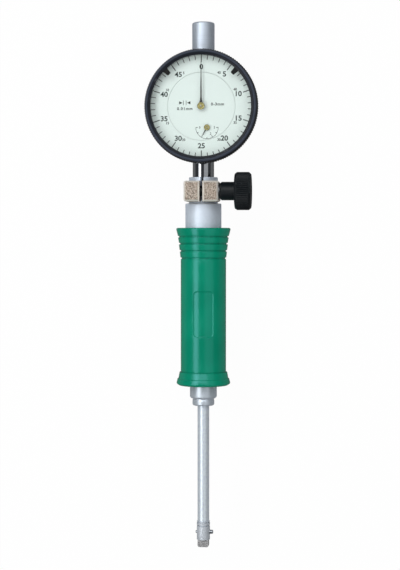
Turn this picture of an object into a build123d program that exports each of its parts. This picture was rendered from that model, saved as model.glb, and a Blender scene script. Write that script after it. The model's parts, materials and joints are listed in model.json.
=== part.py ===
from build123d import *
import math
import os

# A dial bore gauge for small holes, lying on its back, in millimetres.
# +Z points out of the dial, +Y along the gauge towards the spindle cap, +X to the clamp knob's side.
# The origin is the centre of the back cover's outer face, behind the dial's centre.

# Driving dimensions
AXIS_Z = 7.0                # height of the stem, grip and probe axis above the back face
CASE_R = 19.0               # the indicator's case behind the bezel
BEZEL_WALL = 1.8
KNURL_DEPTH = 0.25
SPINDLE_R = 1.95
STEM_WALL = 2.0
COLLAR_WALL = 1.35
SLEEVE_STEP = 1.35          # how far the sleeve stands out from the collar above it
GRIP_R = 8.5
FLARE = 1.82                # how far the grip's top ring stands out from the grip
PROBE_R = 2.2
HEAD_STEP = 0.275           # how far the measuring head stands out from the probe tube
STROKE = 0.4                # travel of the measuring contact

# Lengths along the gauge, from the cap to the end block
CAP_H = 11.95
BOSS_OUT = 0.8              # how far the case's bosses stand out from it
STEM_SHOWN = 6.0            # stem between the case's boss and the clamp collar
COLLAR_H = 9.8
SLEEVE_H = 9.1
GRIP_H = 59.0
FERRULE_H = 4.95
NOSE_H = 2.75
PROBE_H = 43.75
HEAD_H = 7.1
BLOCK_H = 2.8
CONTACT_DROP = 4.2          # from the head's shoulder to the measuring line

# Clearances
RUNNING = 0.05              # radial, between a shaft and its bearing
SEAT = 0.02                 # between two fixed pieces
TOUCH = 0.02                # end gap between two pieces that push each other
OVERRUN = 1.0               # how far a cutting tool runs past a face

# Radii and stations that follow, the stations measured from the dial's centre
STEM_R = SPINDLE_R + RUNNING + STEM_WALL
COLLAR_R = STEM_R + RUNNING + COLLAR_WALL
SLEEVE_R = COLLAR_R + SLEEVE_STEP
FLARE_R = GRIP_R + FLARE
HEAD_R = PROBE_R + HEAD_STEP
BOSS_END = CASE_R + BOSS_OUT
CAP_TOP = BOSS_END + CAP_H
COLLAR_TOP = -BOSS_END - STEM_SHOWN
SLEEVE_TOP = COLLAR_TOP - COLLAR_H
GRIP_TOP = SLEEVE_TOP - SLEEVE_H
GRIP_BOTTOM = GRIP_TOP - GRIP_H
FERRULE_STEP = GRIP_BOTTOM - FERRULE_H
FERRULE_BOTTOM = FERRULE_STEP - NOSE_H
HEAD_TOP = FERRULE_BOTTOM - PROBE_H
MEASURING_LINE = HEAD_TOP - CONTACT_DROP
HEAD_BOTTOM = HEAD_TOP - HEAD_H
BLOCK_BOTTOM = HEAD_BOTTOM - BLOCK_H


def along_gauge(turn=0.0):
    """The plane through the gauge's axis whose own y axis runs along the gauge."""
    return Plane(origin=(0, 0, AXIS_Z), x_dir=(1, 0, 0), z_dir=(0, 0, 1)).rotated((0, turn, 0))


def out_of_dial(x=0.0, y=0.0):
    """The plane at (x, y) whose own y axis points out of the dial, with heights above the back face."""
    return Plane(origin=(x, y, 0), x_dir=(1, 0, 0), z_dir=(0, -1, 0))


def across_gauge(y, z):
    """The plane whose own y axis points to the knob's side, with distances from the gauge's middle."""
    return Plane(origin=(0, y, z), x_dir=(0, 1, 0), z_dir=(0, 0, -1))


def turned(plane, outline, radii=None, mode=Mode.ADD):
    """Turns a closed outline of (radius, height) points about the plane's own y axis."""
    with BuildSketch(plane) as profile:
        with BuildLine():
            if radii:
                FilletPolyline(*outline, radius=radii, close=True)
            else:
                Polyline(*outline, close=True)
        make_face()
    revolve(profile.sketch, axis=Axis(plane.origin, plane.y_dir), mode=mode)


def rod(plane, radius, low, high, mode=Mode.ADD):
    """A plain round bar, or with Mode.SUBTRACT a hole, from one height to another along the plane's y."""
    turned(plane, [(0, low), (radius, low), (radius, high), (0, high)], mode=mode)


def tube(plane, outer, inner, low, high, mode=Mode.ADD):
    """A plain tube from one height to another along the plane's own y axis."""
    turned(plane, [(inner, low), (outer, low), (outer, high), (inner, high)], mode=mode)


def pointed_teeth(teeth, tip_r, root_r, turn):
    """The points round a fine wheel with pointed teeth; turn is the angle of one tooth in degrees."""
    points = []
    for k in range(teeth):
        for radius, step in ((tip_r, 0), (root_r, 1)):
            angle = math.radians(turn) + math.tau * (k + step / 2) / teeth
            points.append((radius * math.cos(angle), radius * math.sin(angle)))
    return points


def flat_teeth(teeth, tip_r, root_r, turn, tip_share, root_share):
    """The points round a wheel with flat-topped teeth; the shares are of one pitch, at tip and root."""
    points = []
    corners = ((root_r, -root_share), (tip_r, -tip_share), (tip_r, tip_share), (root_r, root_share))
    for k in range(teeth):
        for radius, share in corners:
            angle = math.radians(turn) + math.tau * (k + share / 2) / teeth
            points.append((radius * math.cos(angle), radius * math.sin(angle)))
    return points


def save(piece, name):
    """Labels a finished piece and writes its file."""
    piece.part.label = name
    export_step(piece.part, "parts/" + name + ".step")


os.makedirs("parts", exist_ok=True)
GAUGE = along_gauge()
DIAL = out_of_dial()

# Heights in the indicator, from the spindle forward and from it back, each level set on the one before
COVER_T = 1.4
REAR_PLATE_T = 0.8
REAR_PLATE_GAP = 1.05       # behind the spindle
REAR_PLATE_TOP = AXIS_Z - SPINDLE_R - REAR_PLATE_GAP
REAR_PLATE_LOW = REAR_PLATE_TOP - REAR_PLATE_T
PLATE_GAP = 0.2             # in front of the spindle
PLATE_T = 0.75
PLATE_LOW = AXIS_Z + SPINDLE_R + PLATE_GAP
PLATE_TOP = PLATE_LOW + PLATE_T
GEAR_GAP = 0.35
GEAR_T = 0.4
GEAR_LOW = PLATE_TOP + GEAR_GAP
HAIRSPRING_GAP = 0.3
HAIRSPRING_T = 0.3
HAIRSPRING_LOW = GEAR_LOW + GEAR_T + HAIRSPRING_GAP
WEB_GAP = 0.35
WEB_T = 0.8
WEB_LOW = HAIRSPRING_LOW + HAIRSPRING_T + WEB_GAP
WEB_TOP = WEB_LOW + WEB_T
RETAINER_STEP = 0.8
RETAINER_T = 0.4
RETAINER_LOW = WEB_TOP + RETAINER_STEP
NECK_RIM = 0.7              # what is left of the neck in front of its groove
NECK_TOP = RETAINER_LOW + RETAINER_T + NECK_RIM
DIAL_GAP = 0.2
DIAL_T = 0.5
DIAL_LOW = NECK_TOP + DIAL_GAP
DIAL_TOP = DIAL_LOW + DIAL_T
COUNTER_HAND_GAP = 0.35
COUNTER_HUB_H = 0.6
COUNTER_HAND_LOW = DIAL_TOP + COUNTER_HAND_GAP
COUNTER_HUB_TOP = COUNTER_HAND_LOW + COUNTER_HUB_H
HAND_GAP = 0.25
HUB_H = 0.85
POINTER_LOW = COUNTER_HUB_TOP + HAND_GAP
HUB_TOP = POINTER_LOW + HUB_H
CRYSTAL_T = 0.65
CRYSTAL_LOW = HUB_TOP + HAND_GAP
CRYSTAL_TOP = CRYSTAL_LOW + CRYSTAL_T

# Sizes of the indicator's case and of what fits in it
CASE_WALL = 1.8
CASE_INSIDE = CASE_R - CASE_WALL
NECK_STEP = 1.4
NECK_R = CASE_R - NECK_STEP
NECK_WALL = 1.3
DIAL_RING_W = 6.5
DIAL_SPLIT_R = CASE_R - DIAL_RING_W     # where the turning ring of the dial meets its fixed centre
DIAL_LEDGE = 0.6
DIAL_SEAT_R = DIAL_SPLIT_R - DIAL_LEDGE
DIAL_SEAT_WALL = 1.7
BOSS_STEP = 0.5             # between the bosses and the back cover
BOSS_R = AXIS_Z - COVER_T - BOSS_STEP
SPIGOT_WALL = 1.0
SPIGOT_R = SPINDLE_R + RUNNING + SPIGOT_WALL
SPIGOT_IN = 3.0
SPIGOT_END = CASE_R - SPIGOT_IN
RETAINER_DEPTH = 0.3
COVER_SCREW_R = 0.7
COVER_SCREW_HEAD_R = 1.25
COVER_SCREW_IN = 1.8
COVER_SCREW_CIRCLE = CASE_INSIDE - COVER_SCREW_IN
COVER_SCREW_L = 3.8
COVER_SCREW_END = COVER_T + COVER_SCREW_L
COVER_BOSS_R = 1.9
COVER_BOSS_ROOF = 0.8
COVER_BOSS_TOP = COVER_SCREW_END + COVER_BOSS_ROOF
COVER_SCREWS = 4
COVER_SCREW_TURN = 45.0

# Sizes of the gear train: rack, rack pinion, main gear, centre pinion and take-up gear
RACK_PITCH = 0.5
RACK_TEETH = 14
RACK_PINION_TEETH = 12
WHEEL_TEETH = 120
PINION_TEETH = 10
WHEEL_TIP_SHARE = 0.7       # heights of the teeth as shares of their module
WHEEL_ROOT_SHARE = 1.3
PINION_ROOT_SHARE = 1.0
RACK_DEPTH_SHARE = 2.25
RACK_PINION_TIP_SHARE = 0.9
RACK_PINION_ROOT_SHARE = 1.15
WHEEL_CLEARANCE = 1.58      # between the wheels' teeth and the case's wall
WHEEL_REACH_SHARE = 1 + (WHEEL_TEETH + 2 * WHEEL_TIP_SHARE) / (WHEEL_TEETH + PINION_TEETH)
GEAR_CENTRES = (CASE_INSIDE - WHEEL_CLEARANCE) / WHEEL_REACH_SHARE
GEAR_ANGLE = -74.93         # the small dial's direction from the dial's centre; the main gear stands opposite
COUNTER_X = GEAR_CENTRES * math.cos(math.radians(GEAR_ANGLE))
COUNTER_Y = GEAR_CENTRES * math.sin(math.radians(GEAR_ANGLE))
COUNTER = out_of_dial(COUNTER_X, COUNTER_Y)
MAIN = out_of_dial(-COUNTER_X, -COUNTER_Y)
GEAR_MODULE = 2 * GEAR_CENTRES / (WHEEL_TEETH + PINION_TEETH)
WHEEL_PITCH_R = GEAR_MODULE * WHEEL_TEETH / 2
PINION_PITCH_R = GEAR_MODULE * PINION_TEETH / 2
RACK_MODULE = RACK_PITCH / math.pi
RACK_ADDENDUM = RACK_MODULE
RACK_PINION_R = RACK_MODULE * RACK_PINION_TEETH / 2
PLATE_STEP = 0.8
PLATE_R = CASE_INSIDE - PLATE_STEP
PIVOT_R = 0.25
ARBOR_R = 0.45
MAIN_ARBOR_R = 0.5
ARBOR_HOLE_R = 0.8
PIVOT_END = 0.25            # what is left of the web in front of the main pivot
POST_R = 1.3
POST_IN = 3.6
POST_X = PLATE_R - POST_IN
POST_Y = 5.0
PLATE_SCREW_R = 0.6
PLATE_SCREW_HEAD_R = 1.1
PLATE_SCREW_HEAD_T = 0.5
HAIRSPRING_END_R = 3.2
STUD_R = 0.3

# Dial case: a cup that is open at the back, with a front web, a neck for the bezel and two bosses
post_places = [(x, y) for x in (-POST_X, POST_X) for y in (-POST_Y, POST_Y)]
screw_places = PolarLocations(COVER_SCREW_CIRCLE, COVER_SCREWS, start_angle=COVER_SCREW_TURN).local_locations

with BuildPart() as dial_case:
    with BuildSketch(Plane.XY.offset(COVER_T)):
        Circle(CASE_R)
        Circle(CASE_R - CASE_WALL, mode=Mode.SUBTRACT)
    extrude(amount=WEB_TOP - COVER_T)
    with BuildSketch(Plane.XY.offset(COVER_T)):
        with Locations(*screw_places):
            Circle(COVER_BOSS_R)
    extrude(amount=COVER_BOSS_TOP - COVER_T)
    with BuildSketch(Plane.XY.offset(WEB_LOW)):
        Circle(CASE_R - CASE_WALL / 2)
    extrude(amount=WEB_T)
    with BuildSketch(Plane.XY.offset(WEB_TOP)):
        Circle(NECK_R)
        Circle(NECK_R - NECK_WALL, mode=Mode.SUBTRACT)
    extrude(amount=NECK_TOP - WEB_TOP)
    with BuildSketch(Plane.XY.offset(WEB_TOP)):
        Circle(DIAL_SEAT_R)
        Circle(DIAL_SEAT_R - DIAL_SEAT_WALL, mode=Mode.SUBTRACT)
    extrude(amount=DIAL_LOW - WEB_TOP)
    with BuildSketch(Plane.XY.offset(PLATE_TOP)):
        with Locations(*post_places):
            Circle(POST_R)
    extrude(amount=WEB_LOW - PLATE_TOP)
    rod(out_of_dial(COUNTER_X + HAIRSPRING_END_R, COUNTER_Y), STUD_R, HAIRSPRING_LOW, WEB_LOW)
    for side in (-1, 1):
        rod(GAUGE, BOSS_R, side * (CASE_R - CASE_WALL), side * BOSS_END)
        rod(GAUGE, SPIGOT_R + SEAT, side * SPIGOT_END, side * (BOSS_END + OVERRUN), mode=Mode.SUBTRACT)
    tube(
        DIAL,
        NECK_R + OVERRUN,
        NECK_R - RETAINER_DEPTH,
        RETAINER_LOW - SEAT,
        RETAINER_LOW + RETAINER_T + SEAT,
        mode=Mode.SUBTRACT,
    )
    rod(DIAL, ARBOR_HOLE_R, WEB_LOW - OVERRUN, WEB_TOP + OVERRUN, mode=Mode.SUBTRACT)
    rod(COUNTER, ARBOR_HOLE_R, WEB_LOW - OVERRUN, WEB_TOP + OVERRUN, mode=Mode.SUBTRACT)
    rod(MAIN, PIVOT_R + RUNNING, WEB_LOW - OVERRUN, WEB_TOP - PIVOT_END, mode=Mode.SUBTRACT)
    for x, y in post_places:
        rod(out_of_dial(x, y), PLATE_SCREW_R + SEAT, PLATE_LOW, WEB_LOW, mode=Mode.SUBTRACT)
    for place in screw_places:
        screw = out_of_dial(place.position.X, place.position.Y)
        rod(screw, COVER_SCREW_R + SEAT, COVER_T - OVERRUN, COVER_SCREW_END + SEAT, mode=Mode.SUBTRACT)
save(dial_case, "dial_case")

# Back cover: a disc with a turned edge, held by countersunk screws from behind
COVER_STEP = 0.6
COVER_R = CASE_R - COVER_STEP
COVER_EDGE = 0.5
COVER_SINK = COVER_SCREW_HEAD_R - COVER_SCREW_R

with BuildPart() as back_cover:
    turned(
        DIAL,
        [
            (0, 0),
            (COVER_R - COVER_EDGE, 0),
            (COVER_R, COVER_EDGE),
            (COVER_R, COVER_T),
            (0, COVER_T),
        ],
    )
    for place in screw_places:
        turned(
            out_of_dial(place.position.X, place.position.Y),
            [
                (0, -OVERRUN),
                (COVER_SCREW_HEAD_R + SEAT, -OVERRUN),
                (COVER_SCREW_HEAD_R + SEAT, TOUCH),
                (COVER_SCREW_R + SEAT, COVER_SINK + TOUCH),
                (COVER_SCREW_R + SEAT, COVER_T + OVERRUN),
                (0, COVER_T + OVERRUN),
            ],
            mode=Mode.SUBTRACT,
        )
save(back_cover, "back_cover")

with BuildPart() as cover_screws:
    for place in screw_places:
        turned(
            out_of_dial(place.position.X, place.position.Y),
            [
                (0, TOUCH),
                (COVER_SCREW_HEAD_R, TOUCH),
                (COVER_SCREW_R, COVER_SINK + TOUCH),
                (COVER_SCREW_R, COVER_SCREW_END),
                (0, COVER_SCREW_END),
            ],
        )
save(cover_screws, "cover_screws")

# Stem: the tube under the case that the clamp holds, with a spigot pressed into the lower boss
STEM_IN_SLEEVE = 1.4
STEM_BOTTOM = SLEEVE_TOP - STEM_IN_SLEEVE
STEM_EDGE = 0.4

with BuildPart() as stem:
    turned(
        GAUGE,
        [
            (SPINDLE_R + RUNNING, STEM_BOTTOM),
            (STEM_R - STEM_EDGE, STEM_BOTTOM),
            (STEM_R, STEM_BOTTOM + STEM_EDGE),
            (STEM_R, -BOSS_END),
            (SPIGOT_R, -BOSS_END),
            (SPIGOT_R, -SPIGOT_END),
            (SPINDLE_R + RUNNING, -SPIGOT_END),
        ],
    )
save(stem, "stem")

# Upper bush and the cap that screws over it
BUSH_FLANGE = 0.4
BUSH_R = SPIGOT_R + BUSH_FLANGE
BUSH_H = 7.2
BUSH_TOP = BOSS_END + BUSH_H
CAP_WALL = 0.755
CAP_R = BUSH_R + SEAT + CAP_WALL
CAP_ROOF = 1.2
CAP_ROUND = 0.7
SPINDLE_RISE = 0.5
SPINDLE_TOP = BUSH_TOP + SPINDLE_RISE

with BuildPart() as upper_bush:
    turned(
        GAUGE,
        [
            (SPINDLE_R + RUNNING, SPIGOT_END),
            (SPIGOT_R, SPIGOT_END),
            (SPIGOT_R, BOSS_END),
            (BUSH_R, BOSS_END),
            (BUSH_R, BUSH_TOP),
            (SPINDLE_R + RUNNING, BUSH_TOP),
        ],
    )
save(upper_bush, "upper_bush")

with BuildPart() as spindle_cap:
    turned(
        GAUGE,
        [
            (BUSH_R + SEAT, BOSS_END),
            (CAP_R, BOSS_END),
            (CAP_R, CAP_TOP),
            (0, CAP_TOP),
            (0, CAP_TOP - CAP_ROOF),
            (BUSH_R + SEAT, CAP_TOP - CAP_ROOF),
        ],
        radii=[0, 0, CAP_ROUND, 0, 0, 0],
    )
save(spindle_cap, "spindle_cap")

# Bezel: knurled band, raised front ridge, inner slope and a lip over the crystal
MARKER_GAP = 0.04
MARKER_LOW = CRYSTAL_TOP + MARKER_GAP
MARKER_T = 0.26
POCKET_STEP = 0.05
LIP_REACH = 0.45
LIP_T = 0.15
SLOPE_H = 0.55
RIDGE_STEP = 0.7
RIDGE_W = 0.55
SHOULDER_DROP = 1.4
KNURL_MARGIN = 0.3
BEZEL_EDGE = 0.3
BEZEL_LOW = WEB_TOP + DIAL_GAP
BEZEL_BORE = NECK_R + RUNNING
POCKET_R = CASE_R - POCKET_STEP
LIP_R = POCKET_R - LIP_REACH
LIP_LOW = MARKER_LOW + MARKER_T + RUNNING
LIP_TOP = LIP_LOW + LIP_T
BEZEL_FRONT = LIP_TOP + SLOPE_H
RIDGE_IN = POCKET_R + RIDGE_STEP
RIDGE_OUT = RIDGE_IN + RIDGE_W
SHOULDER_R = POCKET_R + BEZEL_WALL
SHOULDER_Z = BEZEL_FRONT - SHOULDER_DROP
KNURL_ROOT_R = SHOULDER_R
KNURL_LOW = BEZEL_LOW + BEZEL_EDGE + DIAL_GAP
KNURL_HIGH = SHOULDER_Z - KNURL_MARGIN
KNURL_TEETH = 144
BEZEL_R = KNURL_ROOT_R + KNURL_DEPTH

with BuildPart() as bezel:
    turned(
        DIAL,
        [
            (BEZEL_BORE, BEZEL_LOW),
            (SHOULDER_R - BEZEL_EDGE, BEZEL_LOW),
            (SHOULDER_R, BEZEL_LOW + BEZEL_EDGE),
            (SHOULDER_R, SHOULDER_Z),
            (RIDGE_OUT, BEZEL_FRONT),
            (RIDGE_IN, BEZEL_FRONT),
            (RIDGE_IN - BEZEL_EDGE, BEZEL_FRONT - BEZEL_EDGE),
            (LIP_R, LIP_TOP),
            (LIP_R, LIP_LOW),
            (POCKET_R, LIP_LOW),
            (POCKET_R, DIAL_LOW),
            (BEZEL_BORE, DIAL_LOW),
        ],
    )
    with BuildSketch(Plane.XY.offset(KNURL_LOW)):
        Polygon(*pointed_teeth(KNURL_TEETH, BEZEL_R, KNURL_ROOT_R, 0), align=None)
        Circle(SHOULDER_R - BEZEL_EDGE, mode=Mode.SUBTRACT)
    extrude(amount=KNURL_HIGH - KNURL_LOW)
    tube(
        DIAL,
        NECK_R + RETAINER_DEPTH + RUNNING,
        BEZEL_BORE - SEAT,
        RETAINER_LOW - RUNNING,
        RETAINER_LOW + RETAINER_T + RUNNING,
        mode=Mode.SUBTRACT,
    )
save(bezel, "bezel")

# Retaining ring: a flat split ring between the neck's groove and the bezel's
RING_GAP = 3.0
RING_CUT = 4 * RETAINER_DEPTH

with BuildPart() as retaining_ring:
    with BuildSketch(Plane.XY.offset(RETAINER_LOW)):
        Circle(NECK_R + RETAINER_DEPTH)
        Circle(NECK_R - RETAINER_DEPTH + SEAT, mode=Mode.SUBTRACT)
        with Locations((0, NECK_R)):
            Rectangle(RING_GAP, RING_CUT, mode=Mode.SUBTRACT)
    extrude(amount=RETAINER_T)
save(retaining_ring, "retaining_ring")

# Crystal: a clear flat cap whose thin skirt stands on the dial ring
CRYSTAL_R = POCKET_R - RUNNING
SKIRT_WALL = 0.3

with BuildPart() as crystal:
    turned(
        DIAL,
        [
            (0, CRYSTAL_LOW),
            (CRYSTAL_R - SKIRT_WALL, CRYSTAL_LOW),
            (CRYSTAL_R - SKIRT_WALL, DIAL_TOP + TOUCH),
            (CRYSTAL_R, DIAL_TOP + TOUCH),
            (CRYSTAL_R, CRYSTAL_TOP),
            (0, CRYSTAL_TOP),
        ],
    )
save(crystal, "crystal")

# Dial: a graduated ring that turns with the bezel, round a fixed disc with the small dial
with BuildPart() as dial_ring:
    tube(DIAL, CRYSTAL_R, DIAL_SPLIT_R + RUNNING, DIAL_LOW, DIAL_TOP)
save(dial_ring, "dial_ring")

with BuildPart() as centre_dial:
    rod(DIAL, DIAL_SPLIT_R - RUNNING, DIAL_LOW, DIAL_TOP)
    rod(DIAL, ARBOR_HOLE_R, DIAL_LOW - OVERRUN, DIAL_TOP + OVERRUN, mode=Mode.SUBTRACT)
    rod(COUNTER, ARBOR_HOLE_R, DIAL_LOW - OVERRUN, DIAL_TOP + OVERRUN, mode=Mode.SUBTRACT)
save(centre_dial, "centre_dial")

# Limit markers: blunt wedges over the crystal, each on a curved foot that slides under the bezel's lip
MARKER_L = 2.25
MARKER_TIP_R = LIP_R - MARKER_L
MARKER_TIP_W = 1.5
MARKER_ROOT_W = 2.3
MARKER_ANGLE = 45.0
FOOT_R = CRYSTAL_R
FOOT_W = 3.6

for name, angle in (("limit_marker_left", 90 + MARKER_ANGLE), ("limit_marker_right", 90 - MARKER_ANGLE)):
    with BuildPart() as marker:
        with BuildSketch(Plane.XY.offset(MARKER_LOW).rotated((0, 0, angle))):
            with Locations((FOOT_R, 0)):
                Rectangle(2 * (FOOT_R - LIP_R), FOOT_W)
            Polygon(
                (MARKER_TIP_R, -MARKER_TIP_W / 2),
                (LIP_R, -MARKER_ROOT_W / 2),
                (LIP_R, MARKER_ROOT_W / 2),
                (MARKER_TIP_R, MARKER_TIP_W / 2),
                align=None,
            )
        extrude(amount=MARKER_T)
        rod(DIAL, FOOT_R, MARKER_LOW, MARKER_LOW + MARKER_T, mode=Mode.INTERSECT)
    save(marker, name)

# Movement plates: the front one carries the gears, the rear one the rack pinion and the guide slot
REAR_PLATE_W = 14.0
REAR_PLATE_IN_TOP = 4.6     # from the plate's ends to the case's wall
REAR_PLATE_IN_BOTTOM = 3.8
REAR_PLATE_TOP_Y = CASE_INSIDE - REAR_PLATE_IN_TOP
REAR_PLATE_BOTTOM_Y = REAR_PLATE_IN_BOTTOM - CASE_INSIDE
REAR_PLATE_CORNER = 2.0
PLATE_TRIM = 0.4
PLATE_HALF = -REAR_PLATE_BOTTOM_Y - PLATE_TRIM
GUIDE_IN = 4.4              # places on the rear plate, from its lower end
GUIDE_Y = REAR_PLATE_BOTTOM_Y + GUIDE_IN
GUIDE_PIN_R = 0.55
GUIDE_UP = 3.2
GUIDE_DOWN = 1.6
PILLAR_R = 1.1
PILLAR_IN_X = 1.5
PILLAR_IN_Y = 1.8
PILLAR_X = REAR_PLATE_W / 2 - PILLAR_IN_X
PILLAR_UP = REAR_PLATE_TOP_Y - PILLAR_IN_Y
PILLAR_DOWN = REAR_PLATE_BOTTOM_Y + PILLAR_IN_Y
SPRING_OUT = 1.45
SPRING_X = SPINDLE_R + SPRING_OUT
SPRING_POST_IN = 1.2
SPRING_POST_Y = REAR_PLATE_BOTTOM_Y + SPRING_POST_IN
SPRING_SPAN = 9.2
SPRING_PIN_Y = SPRING_POST_Y + SPRING_SPAN
SPRING_PIN_R = 0.35
SPRING_COIL_R = 0.75
SPRING_WIRE_R = 0.15

with BuildPart() as movement_plate:
    with BuildSketch(Plane.XY.offset(PLATE_LOW)):
        Circle(PLATE_R)
        Rectangle(2 * PLATE_R, 2 * PLATE_HALF, mode=Mode.INTERSECT)
        Circle(PIVOT_R + RUNNING, mode=Mode.SUBTRACT)
        with Locations((COUNTER_X, COUNTER_Y)):
            Circle(PIVOT_R + RUNNING, mode=Mode.SUBTRACT)
        with Locations((-COUNTER_X, -COUNTER_Y)):
            Circle(ARBOR_HOLE_R, mode=Mode.SUBTRACT)
        with Locations((SPRING_X, SPRING_POST_Y)):
            Circle(SPRING_PIN_R + SEAT, mode=Mode.SUBTRACT)
        with Locations(*post_places):
            Circle(PLATE_SCREW_R + SEAT, mode=Mode.SUBTRACT)
    extrude(amount=PLATE_T)
save(movement_plate, "movement_plate")

with BuildPart() as rear_plate:
    with BuildSketch(Plane.XY.offset(REAR_PLATE_LOW)):
        with Locations((0, (REAR_PLATE_TOP_Y + REAR_PLATE_BOTTOM_Y) / 2)):
            RectangleRounded(REAR_PLATE_W, REAR_PLATE_TOP_Y - REAR_PLATE_BOTTOM_Y, REAR_PLATE_CORNER)
        with Locations((-COUNTER_X, -COUNTER_Y)):
            Circle(PIVOT_R + RUNNING, mode=Mode.SUBTRACT)
        with Locations((0, GUIDE_Y + (GUIDE_UP - GUIDE_DOWN) / 2)):
            Rectangle(2 * (GUIDE_PIN_R + RUNNING), GUIDE_UP + GUIDE_DOWN, mode=Mode.SUBTRACT)
    extrude(amount=REAR_PLATE_T)
save(rear_plate, "rear_plate")

with BuildPart() as plate_pillars:
    for x in (-PILLAR_X, PILLAR_X):
        for y in (PILLAR_UP, PILLAR_DOWN):
            rod(out_of_dial(x, y), PILLAR_R, REAR_PLATE_TOP, PLATE_LOW)
save(plate_pillars, "plate_pillars")

with BuildPart() as plate_screws:
    for x, y in post_places:
        screw = out_of_dial(x, y)
        rod(screw, PLATE_SCREW_HEAD_R, PLATE_LOW - PLATE_SCREW_HEAD_T, PLATE_LOW)
        rod(screw, PLATE_SCREW_R, PLATE_LOW, WEB_LOW - TOUCH)
save(plate_screws, "plate_screws")

# Spindle: the long rod with the rack, its contact tip, guide pin and spring pin
SPINDLE_DROP = 1.5
SPINDLE_BOTTOM = STEM_BOTTOM - SPINDLE_DROP
SPINDLE_EDGE = 0.3
RACK_TIP_X = -COUNTER_X + RACK_PINION_R - RACK_ADDENDUM
RACK_DEPTH = RACK_DEPTH_SHARE * RACK_MODULE
RACK_GAP = 0.3
RACK_FLANK = RACK_GAP / 3
RACK_UP_TEETH = 4
RACK_MIDDLE = -COUNTER_Y + RACK_PITCH * (RACK_UP_TEETH - RACK_TEETH / 2)
RACK_MARGIN = 0.5
PIN_DEPTH = 1.2
TIP_STEP = 0.25
TIP_R = SPINDLE_R - TIP_STEP
TIP_BALL_R = 1.0
TIP_BALL_ROUND = 0.8
TIP_SHANK = 2.0
TIP_H = 4.5
TIP_BOTTOM = SPINDLE_BOTTOM - TIP_H

with BuildPart() as spindle:
    turned(
        GAUGE,
        [
            (0, SPINDLE_BOTTOM),
            (SPINDLE_R - SPINDLE_EDGE, SPINDLE_BOTTOM),
            (SPINDLE_R, SPINDLE_BOTTOM + SPINDLE_EDGE),
            (SPINDLE_R, SPINDLE_TOP - SPINDLE_EDGE),
            (SPINDLE_R - SPINDLE_EDGE, SPINDLE_TOP),
            (0, SPINDLE_TOP),
        ],
    )
    with BuildSketch(Plane.XY.offset(AXIS_Z - SPINDLE_R)):
        with Locations((RACK_TIP_X - SPINDLE_R / 2, RACK_MIDDLE)):
            Rectangle(SPINDLE_R, RACK_TEETH * RACK_PITCH + 2 * RACK_MARGIN)
        with GridLocations(0, RACK_PITCH, 1, RACK_TEETH - 1):
            Polygon(
                (RACK_TIP_X, RACK_MIDDLE - RACK_GAP / 2 - RACK_FLANK / 2),
                (RACK_TIP_X + RACK_DEPTH, RACK_MIDDLE - RACK_GAP / 2 + RACK_FLANK / 2),
                (RACK_TIP_X + RACK_DEPTH, RACK_MIDDLE + RACK_GAP / 2 - RACK_FLANK / 2),
                (RACK_TIP_X, RACK_MIDDLE + RACK_GAP / 2 + RACK_FLANK / 2),
                align=None,
            )
    extrude(amount=2 * SPINDLE_R, mode=Mode.SUBTRACT)
    rod(
        out_of_dial(0, GUIDE_Y),
        GUIDE_PIN_R + SEAT,
        AXIS_Z - SPINDLE_R - OVERRUN,
        AXIS_Z - SPINDLE_R + PIN_DEPTH + SEAT,
        mode=Mode.SUBTRACT,
    )
    rod(
        across_gauge(SPRING_PIN_Y, AXIS_Z),
        SPRING_PIN_R + SEAT,
        SPINDLE_R - PIN_DEPTH - SEAT,
        SPINDLE_R + OVERRUN,
        mode=Mode.SUBTRACT,
    )
save(spindle, "spindle")

with BuildPart() as contact_tip:
    turned(
        GAUGE,
        [
            (0, TIP_BOTTOM),
            (TIP_BALL_R, TIP_BOTTOM),
            (TIP_BALL_R, TIP_BOTTOM + 2 * TIP_BALL_R),
            (TIP_R, SPINDLE_BOTTOM - TIP_SHANK),
            (TIP_R, SPINDLE_BOTTOM),
            (0, SPINDLE_BOTTOM),
        ],
        radii=[0, TIP_BALL_ROUND, 0, 0, 0, 0],
    )
save(contact_tip, "contact_tip")

with BuildPart() as guide_pin:
    rod(out_of_dial(0, GUIDE_Y), GUIDE_PIN_R, REAR_PLATE_LOW, AXIS_Z - SPINDLE_R + PIN_DEPTH)
save(guide_pin, "guide_pin")

with BuildPart() as spring_pin:
    rod(
        across_gauge(SPRING_PIN_Y, AXIS_Z),
        SPRING_PIN_R,
        SPINDLE_R - PIN_DEPTH,
        SPRING_X + SPRING_COIL_R + SPRING_WIRE_R,
    )
save(spring_pin, "spring_pin")

with BuildPart() as spring_post:
    rod(out_of_dial(SPRING_X, SPRING_POST_Y), SPRING_PIN_R, AXIS_Z - SPRING_COIL_R, PLATE_TOP)
save(spring_post, "spring_post")


def coil(radius, wire_r, turns, bottom, top, x=0.0):
    """A round-wire coil along the gauge, from its lowest to its highest wire surface."""
    height = top - bottom - 2 * wire_r
    start = (x, bottom + wire_r, AXIS_Z)
    with BuildLine() as path:
        Helix(pitch=height / turns, height=height, radius=radius, center=start, direction=(0, 1, 0))
    with BuildSketch(Plane(origin=path.line @ 0, z_dir=path.line % 0)) as section:
        RegularPolygon(wire_r, 6)
    sweep(section.sketch, path=path.line, is_frenet=True)


SPINDLE_SPRING_TURNS = 8

with BuildPart() as spindle_spring:
    coil(
        SPRING_COIL_R,
        SPRING_WIRE_R,
        SPINDLE_SPRING_TURNS,
        SPRING_POST_Y + SPRING_PIN_R + TOUCH,
        SPRING_PIN_Y - SPRING_PIN_R - TOUCH,
        x=SPRING_X,
    )
save(spindle_spring, "spindle_spring")

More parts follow.
